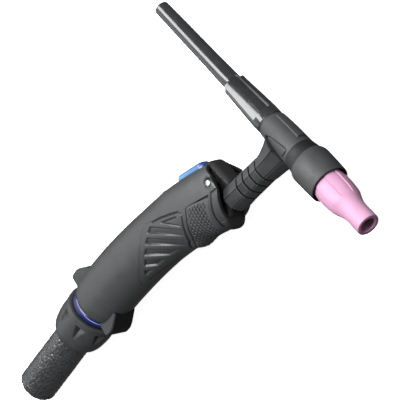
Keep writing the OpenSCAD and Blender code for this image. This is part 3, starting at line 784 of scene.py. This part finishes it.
nozzle_profile = [(26.2, 5.6), (26.2, 10.0), (26.6, 10.25), (PAD_BACK, 10.3)]
nozzle_profile += [(d, float(np.interp(d, PAD_AT, PAD_RADIUS)))
                   for d in np.linspace(PAD_BACK + 1.5, PAD_END + 0.9, 20)]
nozzle_profile += [(59.2, 9.45), (60.2, 9.05), (61.3, 8.7), (62.6, 8.3), (64, 7.92), (65.5, 7.68),
                   (67, 7.56), (69, 7.55), (73, 7.6), (76, 7.66),
                   (NOZZLE_TIP - 0.9, 7.7), (NOZZLE_TIP - 0.35, 7.62), (NOZZLE_TIP - 0.08, 7.4),
                   (NOZZLE_TIP, 7.05), (NOZZLE_TIP, 5.5), (NOZZLE_TIP - 0.25, 5.08),
                   (NOZZLE_TIP - 0.8, 4.92), (NOZZLE_TIP - 5, 4.9), (NOZZLE_TIP - 13, 4.9),
                   (56, 7.0), (36, 7.0), (36, 5.6)]
nozzle = lathe("nozzle_cup", HEAD, nozzle_profile, sector_angles(10), nozzle_pads, nozzle_shade,
               crease=math.radians(28))
place(nozzle, "nozzle", "ceramic", "nozzle")

# ---- torch head
JACKET_TOP, SEAM, COLLAR_RIM = -19.55, 9.3, 40.0
SADDLE_EDGE = [(-13.5, 104), (-11.1, 94.5), (-8.6, 87), (-2.1, 80), (3.4, 75.0), (5.6, 73.5),
               (6.6, 76), (6.9, 82), (6.4, 94), (5.3, 112)]
RIB_HALF, RIB_FROM, RIB_TO, RIB_LIFT = 17.5, -17.2, 5.4, 0.95
SHORT_LINE = [(18.1, 44), (18.1, 84)]
DEGREE = 10.2 * math.pi / 180


def mirrored(angle):
    """Angles folded so that both sides of the mid-plane are alike, from 0 to 180 degrees."""
    a = np.mod(angle, 360)
    return np.where(a > 180, 360 - a, a)


def to_skin(points):
    return [(d, a * DEGREE) for d, a in points]


def jacket_relief(d, angle, r):
    a = mirrored(angle)
    arc = a * DEGREE
    on_skin = r > 8
    line = 0.42 * (1 - smooth(0.16, 0.5, line_distance(d, arc, to_skin(SADDLE_EDGE))))
    across = (RIB_HALF - a) * DEGREE
    ends = np.minimum(d - RIB_FROM, RIB_TO - d)
    rib = smooth(0, 0.45, across) * smooth(0, 0.5, ends)
    seam_gap = 0.22 * (1 - smooth(0.1, 0.42, np.abs(d - SEAM)))
    return np.where(on_skin, RIB_LIFT * rib - line - seam_gap, 0)


def jacket_shade(d, angle, r):
    # painted shade in the saddle line and the seam gap, a painted shadow below the rib's end, and painted shade
    # inside
    a = mirrored(angle)
    line = 1 - smooth(0.2, 0.55, line_distance(d, a * DEGREE, to_skin(SADDLE_EDGE)))
    seam_gap = 0.75 * (1 - smooth(0.1, 0.4, np.abs(d - SEAM)))
    below = (1 - smooth(0.0, 1.6, d - RIB_TO)) * (d > RIB_TO) * (a < RIB_HALF) * 0.55
    return np.where(r > 8, np.maximum.reduce([line, seam_gap, below]), 0.3)


head_profile = [(JACKET_TOP, 7.2), (JACKET_TOP, 8.6), (JACKET_TOP + 0.15, 8.95),
                (JACKET_TOP + 0.5, 9.2)]
head_profile += [(d, float(np.interp(d, (-19, -12, -4, 9.2), (9.25, 9.95, 10.3, 10.5))))
                 for d in np.arange(-18.6, 9.1, 0.3)]
head_profile += [(9.14, 10.5), (9.14, 9.95), (9.5, 9.95), (9.5, 7.2)]
jacket = lathe("head_jacket_body", HEAD, head_profile, 360, jacket_relief, jacket_shade,
               crease=math.radians(40))
place(jacket, "head", "head_plastic", "head_jacket")


def collar_relief(d, angle, r):
    a = mirrored(angle)
    mark = 0.14 * (1 - smooth(0.08, 0.35, line_distance(d, a * DEGREE, to_skin(SHORT_LINE))))
    return np.where((r > 9.8) & (d < 39), -mark, 0)


def collar_shade(d, angle, r):
    # painted shade in the short groove and on the inside of the rim
    a = mirrored(angle)
    mark = 0.55 * (1 - smooth(0.1, 0.4, line_distance(d, a * DEGREE, to_skin(SHORT_LINE))))
    inner = np.where(r < 12.5, smooth(COLLAR_RIM - 0.6, COLLAR_RIM - 3, d), 0)
    return np.maximum(np.where(r > 9.8, mark, 0), inner)


collar_profile = [(SEAM + 0.06, 7.3), (SEAM + 0.06, 10.45), (SEAM + 0.2, 10.55)]
collar_profile += [(d, float(np.interp(d, (9.6, 13, 16.6, 17.6, 18.6, 19.6, 20.6),
                                       (10.6, 11.2, 11.85, 12.3, 12.85, 13.2, 13.38))))
                   for d in np.arange(9.6, 20.7, 0.35)]
collar_profile += [(21.4, 13.42), (28, 13.4), (34, 13.25), (COLLAR_RIM - 0.8, 13.1),
                   (COLLAR_RIM - 0.35, 13.0), (COLLAR_RIM - 0.08, 12.78), (COLLAR_RIM, 12.55),
                   (COLLAR_RIM - 0.15, 12.3), (COLLAR_RIM - 1, 12.2), (32, 12.2), (22, 12.2),
                   (22, 7.3)]
collar = lathe("front_collar_body", HEAD, collar_profile, 216, collar_relief, collar_shade,
               crease=math.radians(40))
place(collar, "head", "head_plastic", "front_collar")


# ---- flexible neck
FACETS, FACET_R, GAP_HALF = 8, 8.72, 0.58
FACET = 360 / FACETS
CORNER = FACET / 2
JACKET_BORE, JACKET_SKIN = 7.6, 8.0
FACET_STEPS = [0.3, 1.0, 1.8, 2.8, 4.2, 7, 11, 16]
one_facet = np.sort([0, CORNER] + FACET_STEPS + [FACET - a for a in FACET_STEPS])
FACET_ANGLES = np.concatenate([k * FACET + one_facet for k in range(FACETS)])
RING_EDGE = [(0.02, JACKET_BORE), (0, 8.1), (0.08, FACET_R - 0.34), (0.4, FACET_R - 0.05)]


def facet_shape(d, angle, r):
    """An eight-sided moulding with slightly bulging faces and a groove at each corner."""
    phi = np.mod(angle, FACET) - CORNER
    to_corner = (CORNER - np.abs(phi)) * FACET_R * math.pi / 180
    flat = 1 / np.cos(np.radians(phi)) - 1
    bulge = 0.12 * np.cos(np.radians(phi * 4))
    line = 0.42 * (1 - smooth(0.08, 0.42, to_corner))
    return np.where(r > JACKET_SKIN, FACET_R * flat * 0.86 + bulge - line, 0)


def facet_shade(d, angle, r):
    # painted shade in the corner grooves, on the ring ends and inside
    phi = np.mod(angle, FACET) - CORNER
    to_corner = (CORNER - np.abs(phi)) * FACET_R * math.pi / 180
    return np.where(r > FACET_R - 0.2, 0.95 * (1 - smooth(0.12, 0.5, to_corner)), 1.0)


def edge_from(station):
    return [(station + d, r) for d, r in RING_EDGE]


def edge_to(station):
    return [(station - d, r) for d, r in RING_EDGE[::-1]]


def neck_part(name, profile, shape=facet_shape):
    return lathe(name, NECK, profile, FACET_ANGLES, shape, facet_shade)


for k in (1, 2, 3):
    start, stop = HINGES[k - 1] + GAP_HALF, HINGES[k] - GAP_HALF
    skin = [(d, FACET_R) for d in np.linspace(start + 0.9, stop - 0.9, 7)]
    ring = neck_part(f"neck_link_{k}_jacket", edge_from(start) + skin + edge_to(stop))
    place(ring, f"neck_link_{k}", "neck_rubber", f"neck_ring_{k}")

BELLOWS = [(-1.3, 7.15), (-1.3, 7.4), (-0.9, 7.55), (0.55, 7.55), (0.9, 7.4), (0.9, 7.15)]
for k, body in enumerate(("handle", "neck_link_1", "neck_link_2", "neck_link_3")):
    bellows = lathe(f"neck_gap_{k + 1}", NECK, [(HINGES[k] + d, r) for d, r in BELLOWS], 72)
    # the bellows wear the darker copy: painted shade in the gaps
    place(bellows, body, "neck_rubber", finish="neck_rubber_painted_shade")

NECK_END = -66.5
rear_stop = HINGES[0] - GAP_HALF
rear_skin = [(d, FACET_R + 0.25 * float(smooth(-56, -62, d)))
             for d in np.linspace(NECK_END + 1, rear_stop - 0.9, 16)]
rear_jacket = neck_part("neck_rear_jacket", [(NECK_END, JACKET_BORE), (NECK_END, FACET_R)]
                        + rear_skin + edge_to(rear_stop))
place(rear_jacket, "handle", "neck_rubber", "neck_jacket_rear")

saddle_start = HINGES[3] + GAP_HALF


def saddle_shape(d, angle, r):
    """The neck's head end flares into the torch head, most of all on the back cap's side."""
    lean = np.cos(np.radians(angle))
    cap_side = np.interp(d, (-25, -20.5, -15, -9, -5), (0, 1.1, 2.5, 4.6, 6.2))
    mouth_side = np.interp(d, (-30, -26.6, -17, -8, -5), (0, 0.45, 1.05, 1.9, 2.2))
    flare = mouth_side + (cap_side - mouth_side) * smooth(-0.35, 0.75, lean)
    return facet_shape(d, angle, r) + np.where(r > JACKET_SKIN, flare, 0)


saddle_skin = [(d, FACET_R) for d in np.linspace(saddle_start + 0.9, -5.2, 40)]
saddle = neck_part("neck_saddle_body", edge_from(saddle_start) + saddle_skin + [(-5, JACKET_BORE)],
                   saddle_shape)
place(saddle, "head", "neck_rubber", "neck_saddle")


# ---- nose piece
NOSE_RINGS = [  # top and foot of each section as (along the handle, height), half depth, and
    # 1 where the section stands clear of the shell
    ((144.0, 14.4), (142.0, -16.8), 12.6, 0), ((147.4, 14.4), (145.4, -17.0), 12.4, 0),
    ((147.6, 14.4), (145.7, -17.0), 9.2, 0), ((148.6, 18.6), (146.6, -21.8), 8.7, 1),
    ((150.4, 19.9), (147.6, -23.2), 8.6, 1), ((152.8, 19.4), (149.2, -23.9), 8.6, 1),
    ((155.4, 17.0), (150.6, -23.6), 8.3, 1), ((158.0, 13.2), (151.4, -22.2), 7.9, 1),
    ((160.2, 9.7), (152.2, -20.0), 7.6, 1), ((161.8, 6.9), (153.4, -17.6), 7.4, 1),
    ((163.0, 5.0), (155.0, -15.8), 7.3, 1), ((163.9, 3.6), (156.2, -14.9), 7.2, 1),
    ((164.0, 3.0), (156.0, -14.4), 7.0, 1), ((161.6, 2.8), (154.0, -14.0), 6.8, 1)]
HOOD_EDGE_U = (148, 152.2, 155.4, 158.6, 161.3, 163.2)
HOOD_EDGE_N = (17.6, 17.2, 12.9, 7.4, 3.4, 1.2)
SIDE_SET_IN, CHIN_OUT, BEAD_HIGHLIGHT_HALF, BEAD_WIDTH, BEAD_LIFT = 1.9, 0.9, 0.42, 0.45, 0.3
NOSE_POWER, NOSE_ROWS, NOSE_COLUMNS = 3.4, 131, 240


def nose_skin(name):
    """The soft hood under the neck: a proud upper part over a side wall set back from it."""
    table = np.array([(*top, *foot, deep, free) for top, foot, deep, free in NOSE_RINGS])
    index = np.arange(len(table))
    at = np.linspace(0, index[-1], NOSE_ROWS)
    top_u, top_n, foot_u, foot_n, deep, free = [
        np.interp(at, index, column)[:, None] for column in table.T]
    turn = np.linspace(0, 2 * math.pi, NOSE_COLUMNS, endpoint=False)
    across, out = [np.sign(c) * np.abs(c) ** (2 / NOSE_POWER) for c in (np.cos(turn), np.sin(turn))]
    u = (top_u + foot_u) / 2 + (top_u - foot_u) / 2 * across
    n = (top_n + foot_n) / 2 + (top_n - foot_n) / 2 * across
    edge_n = np.interp(u, HOOD_EDGE_U, HOOD_EDGE_N)
    below = smooth(-0.15, 0.15, edge_n - n)
    chin = smooth(-14.5, -18.5, n)
    offset = (CHIN_OUT * chin - SIDE_SET_IN * (1 - chin)) * below * free
    bead = np.exp(-((n - edge_n) / BEAD_WIDTH) ** 2) * BEAD_LIFT * free
    z = np.clip(deep + offset + bead, 0, None) * out
    # painted shade on the side wall under the hood, darker towards the bottom, and on the parts inside the shell
    deep_in = 0.35 + 0.55 * smooth(9, 2, n)
    shade = np.clip(deep_in * below * (1 - chin) + 0.9 * (1 - free), 0, 1)
    return loft(name, handle_point(u, n, z), shade, crease=math.radians(48))


def paint_nose(obj):
    """A painted highlight along the hood's edge bead, and the shell's finish on the chin's two side facets."""
    obj.data.materials.append(M["bead_painted_highlight"])
    obj.data.materials.append(M["shell_plastic"])
    for face in obj.data.polygons:
        u, n, z = to_handle(np.array(face.center) / MM)
        # faces along the edge bead take the painted highlight
        on_edge = abs(n - np.interp(u, HOOD_EDGE_U, HOOD_EDGE_N)) < BEAD_HIGHLIGHT_HALF
        if on_edge and abs(z) > 6 and u > 150:
            face.material_index = 1
        elif n < -17.6 and abs(z) > 8.2 and u < 153.5:
            face.material_index = 2


nose = nose_skin("nose_hood")
place(nose, "handle", "nose_rubber", "nose_piece")
paint_nose(nose)

# ---- button
button_turn = BUTTON_U / HANDLE_CURVE
BUTTON_ALONG = np.array([math.cos(button_turn), -math.sin(button_turn), 0.0])
BUTTON_OUT = np.array([math.sin(button_turn), math.cos(button_turn), 0.0])
button_base = handle_point(BUTTON_U, 0.0, 0.0)


PILL_POINTS = 96


def pill_stack(layers):
    """Rings of a pill that follows the handle: layers of (length, width, height above it)."""
    turn = (np.arange(PILL_POINTS) + 0.5) * 2 * math.pi / PILL_POINTS
    c, s = np.cos(turn), np.sin(turn)
    return np.array([
        handle_point(BUTTON_U + width / 2 * c + np.sign(c) * (length - width) / 2,
                     TOP_FLAT + rise, width / 2 * s)
        for length, width, rise in layers])


bezel_layers = [(36.0, 13.5, -1.6), (36.0, 13.5, 0.25), (35.5, 13.0, 0.7), (34.4, 12.2, 0.85),
                (31.6, 11.6, 0.8), (29.4, 11.1, 0.5), (28.2, 10.8, 0.1), (28.0, 10.8, -1.6)]
# painted shade at the bezel's foot and down its inner wall
bezel_shade = np.repeat([0.3, 0, 0, 0, 0, 0.2, 0.8, 1.0], PILL_POINTS)
bezel = make_object("button_bezel_ring", pill_stack(bezel_layers).reshape(-1, 3),
                    looped_faces(len(bezel_layers), PILL_POINTS), bezel_shade)
place(bezel, "handle", "bezel_plastic", "button_bezel")

lens_layers = [(26.4, 9.3, -1.5), (27.4, 10.3, -1.5), (27.5, 10.4, 1.2), (27.4, 10.3, 2.3),
               (27.0, 9.9, 3.3), (26.2, 9.1, 4.1), (24.6, 7.5, 4.75), (21.6, 4.8, 5.2),
               (18.4, 1.8, 5.35)]
lens = loft("button_lens_cap", pill_stack(lens_layers), crease=math.radians(60))
lens_points = np.array([v.co for v in lens.data.vertices]) / MM - button_base
lens_u = lens_points @ BUTTON_ALONG
lens_rise = lens_points @ BUTTON_OUT - TOP_FLAT
# painted highlight on the lens: brightest along its middle and at mid-height, darker towards its ends and rim
highlight_along = np.interp(lens_u, (-14, -11, -6, 3, 8, 11, 14),
                       (0.55, 0.7, 0.95, 1.0, 0.75, 0.4, 0.12))
highlight_up = np.interp(lens_rise, (-1, 0.6, 1.8, 2.8, 3.8, 4.8), (0.2, 0.42, 0.8, 0.98, 0.78, 0.55))
set_painted_light(lens, np.clip(highlight_along * highlight_up, 0, 1))
place(lens, "button", "button_lens", "button_lens")

# ---- screw
screw_centre = np.mean(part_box("handle_screw"), axis=0) / MM
SCREW = Axis(screw_centre * [1, 1, 0] + CROSS * [0, 0, 1], UP, np.array([1.0, 0.0, 0.0]))


def screw_part(name, profile, angles, socket=0.0):
    """A solid turned about the handle's screw. Rings smaller than socket are hexagonal."""
    turn = np.arange(angles) * 360 / angles
    hexagon = 1 / np.cos(np.radians(np.mod(turn, 60) - 30))
    return loft(name, [SCREW.point(z, r * (hexagon if r < socket else np.ones(angles)), turn)
                       for z, r in profile])


# the boss's near-black finish is painted shade round the screw in its well
boss = screw_part("screw_boss", [(-12.6, 0.1), (-12.6, 2.6), (12.6, 2.6), (12.6, 0.1)], 48)
place(boss, "handle", "nose_rubber")
screw = screw_part("handle_screw_head", [
    (-15.4, 0.01), (-15.4, 1.3), (-14.9, 1.5), (12.4, 1.5), (12.5, 1.7), (13.6, 1.85),
    (14.0, 1.75), (14.25, 1.45), (14.3, 1.1), (14.28, 0.75), (13.6, 0.7), (13.4, 0.01)], 72,
    socket=0.8)
place(screw, "handle", "steel", "handle_screw", finish="screw_steel")


# ---- rear bush, light ring, nut
REAR = HANDLE_BACK - CROSS[0]
bush = lathe("rear_bush_body", CABLE, [
    (REAR - 14, 11.9), (REAR - 14, 12.9), (REAR + 2, 12.95), (REAR + 13, 12.9), (REAR + 14, 12.5),
    (REAR + 14, 11.9)], 96)
place(bush, "handle", "bush_plastic", "rear_bush")


LUG_HALF, LUG_EDGE, LUG_ROOT = 8.0, 0.7, 14


def lug_mesh(name, side):
    """One lug of the bush beside the handle's rear end."""
    rear, front = REAR - 1.0, REAR + 17.0
    outline = [(rear, 13.6), (rear, 22.0), (rear + 0.8, 22.9), (rear + 6.0, 23.2),
               (rear + 9.0, 22.3), (front - 1.6, 18.4), (front, 16.8), (front, 13.6)]
    rings = []
    for z, shrink in ((-LUG_HALF, LUG_EDGE), (LUG_EDGE - LUG_HALF, 0), (LUG_HALF - LUG_EDGE, 0),
                      (LUG_HALF, LUG_EDGE)):
        rings.append([(CROSS[0] + x, CABLE_Y + side * (y - shrink * (y > LUG_ROOT)), CROSS[2] + z)
                      for x, y in outline])
    return loft(name, rings, np.zeros((4, len(outline))), crease=math.radians(22))


for side, label in ((1, "back"), (-1, "front")):
    lug = lug_mesh(f"bush_lug_{label}", side)
    place(lug, "handle", "bush_plastic")
    lug.data.materials.append(M["bush_painted_light"])
    for face in lug.data.polygons:
        # faces across z take the lighter copy: painted light
        if abs(face.normal.z) > 0.6:
            face.material_index = 1

HIGHLIGHT_ANGLE, HIGHLIGHT_WIDTH = 128, 44
ring = lathe("light_ring_lens", CABLE, [
    (REAR - 4.4, 13.1), (REAR - 4.4, 15.6)]
    + [(REAR + d, float(np.interp(d, (-4.0, -2.4, -1.0, -0.3), (15.95, 15.95, 15.7, 15.2))))
       for d in np.arange(-4.0, -0.29, 0.185)]
    + [(REAR - 0.15, 14.2), (REAR - 0.15, 13.1)], 144)
ring_points = np.array([v.co for v in ring.data.vertices]) / MM - CABLE_BASE
ring_d, ring_angle = ring_points[:, 0], np.degrees(np.arctan2(ring_points[:, 2], ring_points[:, 1]))
# painted highlight: a thin bright line near the shell, strongest round one angle of the ring
band = np.interp(ring_d, REAR + np.array((-3.9, -2.4, -1.9, -1.45, -1.1, -0.6, -0.3)),
                 (0.06, 0.2, 0.34, 1.0, 0.5, 0.22, 0.1))
arc = np.exp(-((ring_angle - HIGHLIGHT_ANGLE) / HIGHLIGHT_WIDTH) ** 2) * 0.6 + 0.4
set_painted_light(ring, band * arc)
place(ring, "handle", "ring_lens", "light_ring")

NUT_FRONT, NUT_BACK = REAR - 6.0, REAR - 33.0
NOTCH_FROM, NOTCH_LENGTH, NOTCH_HALF, NOTCH_DEPTH = NUT_FRONT - 4.2, 12.5, 3.6, 3.0
NOTCH_EVERY, NOTCH_TURN, NOTCH_RADIUS, NUT_SKIN = 45.0, -14.0, 16.8, 14.2


def from_notch(angle):
    """Degrees from the middle of the nearest finger notch."""
    return np.mod(angle - NOTCH_TURN + NOTCH_EVERY / 2, NOTCH_EVERY) - NOTCH_EVERY / 2


def notch_depth(d, angle):
    """V-shaped finger notches round the nut: widest at the front, running out to the rear."""
    offset = from_notch(angle) * NOTCH_RADIUS * math.pi / 180
    t = (NOTCH_FROM - d) / NOTCH_LENGTH
    half = NOTCH_HALF * np.clip(1 - t, 0, 1) ** 0.85
    wedge = np.clip((half - np.abs(offset)) / NOTCH_HALF, 0, 1)
    return wedge * smooth(-0.03, 0.03, t) * np.clip(1.15 - t, 0, 1)


def nut_shape(d, angle, r):
    return np.where(r > NUT_SKIN, -NOTCH_DEPTH * notch_depth(d, angle), 0)


def nut_shade(d, angle, r):
    # painted shade on one wall and along the foot of each notch, and inside the nut
    depth = notch_depth(d, angle)
    dark_wall = smooth(0.02, 0.1, depth) * smooth(1.0, -1.0, from_notch(angle))
    dark_foot = smooth(0.7, 0.95, depth)
    return np.where(r > NUT_SKIN, np.clip(0.6 * dark_wall + 0.5 * dark_foot, 0, 1), 0.8)


NUT_AT = (0.4, 1.2, 5, 10, 16, 20, 22, 24, 25.4, 26.4, 27)
NUT_RADIUS = (17.8, 17.8, 17.78, 17.7, 17.25, 16.7, 16.3, 15.6, 14.7, 13.6, 12.0)
nut_profile = [(NUT_FRONT - 16.2, 11.9), (NUT_FRONT - 14.6, 13.4), (NUT_FRONT - 0.2, 13.5),
               (NUT_FRONT, 14.0), (NUT_FRONT, 17.5), (NUT_FRONT - 0.15, 17.75)]
nut_profile += [(NUT_FRONT - back, float(np.interp(back, NUT_AT, NUT_RADIUS)))
                for back in np.arange(0.6, 27.01, 0.4)]
nut_profile += [(NUT_BACK, 11.9)]
nut = lathe("cable_nut_body", CABLE, nut_profile, 288, nut_shape, nut_shade,
            crease=math.radians(50))
place(nut, "cable_nut", "nut_plastic", "cable_nut")

# ---- leather sleeve
SLEEVE_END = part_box("cable_sleeve")[0][0] / MM - CROSS[0]
SLEEVE_R, SLEEVE_SKIN = 11.8, 11
FOLDS = ((1.7, 0.2, 1), (0.95, 0.22, 2), (0.6, 0.13, 3))  # size and height in mm, seed
FOLD_SINK = 0.28


def wrinkles(d, angle):
    """Crumpled leather: small folds at three sizes, mostly across the sleeve."""
    arc_at = angle * SLEEVE_R * math.pi / 180
    wrap = 2 * math.pi * SLEEVE_R
    seam = smooth(0, 2, np.minimum(arc_at, wrap - arc_at))
    field = 0
    for size, height, seed in FOLDS:
        bend = value_noise(d / 4, arc_at / 4, seed + 10) * 1.1
        raw = value_noise(d / (size * 0.75) + bend, arc_at / size - bend, seed)
        field = field + height * (1 - 2 * np.abs(raw))
    return field * seam - FOLD_SINK


def sleeve_shape(d, angle, r):
    return np.where(r > SLEEVE_SKIN, wrinkles(d, angle), 0)


def sleeve_shade(d, angle, r):
    # painted shade in the folds' hollows, and inside the sleeve
    return np.where(r > SLEEVE_SKIN, np.clip(-(wrinkles(d, angle) + 0.3) * 2.6, 0, 0.9), 0.8)


sleeve_profile = [(REAR - 9.5, 9.95), (REAR - 9.5, 11.2)]
sleeve_profile += [(d, SLEEVE_R) for d in np.arange(REAR - 10, SLEEVE_END + 0.4, -0.34)]
sleeve_profile += [(SLEEVE_END + 0.05, 11.2), (SLEEVE_END, 10.7), (SLEEVE_END + 0.1, 10.2),
                   (SLEEVE_END + 1, 9.95)]
sleeve = lathe("leather_sleeve", CABLE, sleeve_profile, 220, sleeve_shape, sleeve_shade,
               crease=math.radians(80))
place(sleeve, "handle", "leather", "cable_sleeve")


# ---- CAD pieces that stay as they are
node_slots = {n["node"]: n["material_slot"] for n in frame["record"]["subparts"]}
for name, obj in frame["nodes"].items():
    if not obj.hide_render:
        obj.data.materials.clear()
        obj.data.materials.append(M[node_slots[name]])

# ---- floor
FLOOR_HALF, FLOOR_DROP, FLOOR_GLOW = 1.5, 0.0004, 0.92
floor_mesh = bpy.data.meshes.new("floor")
corners = [(x * FLOOR_HALF, y * FLOOR_HALF, 0) for x, y in ((-1, -1), (1, -1), (1, 1), (-1, 1))]
floor_mesh.from_pydata(corners, [], [(0, 1, 2, 3)])
floor = bpy.data.objects.new("floor", floor_mesh)
scene.collection.objects.link(floor)
floor.location.z = -FLOOR_DROP
floor_look = bpy.data.materials.new("floor")
floor_look.use_nodes = True
paint = floor_look.node_tree.nodes["Principled BSDF"]
paint.inputs["Base Color"].default_value = (0.9, 0.9, 0.9, 1)
paint.inputs["Roughness"].default_value = 0.9
paint.inputs["Emission Color"].default_value = (1, 1, 1, 1)
paint.inputs["Emission Strength"].default_value = FLOOR_GLOW
floor.data.materials.append(floor_look)
floor.visible_diffuse = False
floor.visible_glossy = False

# ---- camera's axes, sky and lights
VIEW_BACK = Vector((0.687, -0.375, 0.6223)).normalized()
VIEW_RIGHT = Vector((0.438, -0.4696, -0.7666)).normalized()
VIEW_RIGHT = (VIEW_RIGHT - VIEW_BACK * VIEW_RIGHT.dot(VIEW_BACK)).normalized()
VIEW_UP = VIEW_BACK.cross(VIEW_RIGHT)
AIM_OFFSET = np.array([-95.3, 27.1, 0.0])
AIM_NUDGE = 0.3
target = Vector((CROSS + AIM_OFFSET) * MM) + (VIEW_RIGHT + VIEW_UP) * AIM_NUDGE * MM

world = scene.world or bpy.data.worlds.new("studio")
scene.world = world
world.use_nodes = True
sky = world.node_tree.nodes["Background"]
sky.inputs["Color"].default_value = (1, 1, 1, 1)
sky.inputs["Strength"].default_value = 0.15

LIGHTS = [  # name, way as (right, up, back), metres away, size, watts, colour, diffuse, glossy
    ("key", (-0.5, 0.2, 0.85), 0.9, (0.45, 0.7), 18.5, (0.96, 0.98, 1.0), True, True),
    ("strip", (-0.9, 0.3, 0.312), 0.9, (0.42, 0.9), 13, (0.97, 0.99, 1.0), False, True),
    ("rim", (-0.948, -0.066, -0.311), 0.9, (0.7, 0.9), 2, (0.97, 0.99, 1.0), False, True),
    ("fill", (0.8, 0.2, 0.8), 1.1, (0.7, 0.7), 1, (1.0, 0.99, 0.97), True, True),
    ("top", (-0.3, 1.0, 0.3), 0.9, (0.6, 0.6), 2, (1.0, 1.0, 1.0), True, False)]
for name, (right, up, back), distance, size, power, colour, diffuse, glossy in LIGHTS:
    away = (VIEW_RIGHT * right + VIEW_UP * up + VIEW_BACK * back).normalized()
    lamp = bpy.data.lights.new(name, "AREA")
    lamp.shape = "RECTANGLE"
    lamp.size, lamp.size_y = size
    lamp.energy, lamp.color = power, colour
    light = bpy.data.objects.new(name, lamp)
    scene.collection.objects.link(light)
    light.location = target + away * distance
    light.rotation_euler = (-away).to_track_quat("-Z", "Y").to_euler()
    light.visible_camera = False
    light.visible_diffuse, light.visible_glossy = diffuse, glossy

# ---- camera
CAMERA_DISTANCE, LENS = 8.0, 1200.0
camera_data = bpy.data.cameras.new("camera")
camera_data.lens = LENS
camera_data.sensor_width = 36
camera_data.clip_end = 20
camera = bpy.data.objects.new("camera", camera_data)
scene.collection.objects.link(camera)
view_axes = Matrix((VIEW_RIGHT, VIEW_UP, VIEW_BACK)).transposed().to_4x4()
camera.matrix_world = Matrix.Translation(target + VIEW_BACK * CAMERA_DISTANCE) @ view_axes
scene.camera = camera
scene.view_settings.view_transform = "Standard"
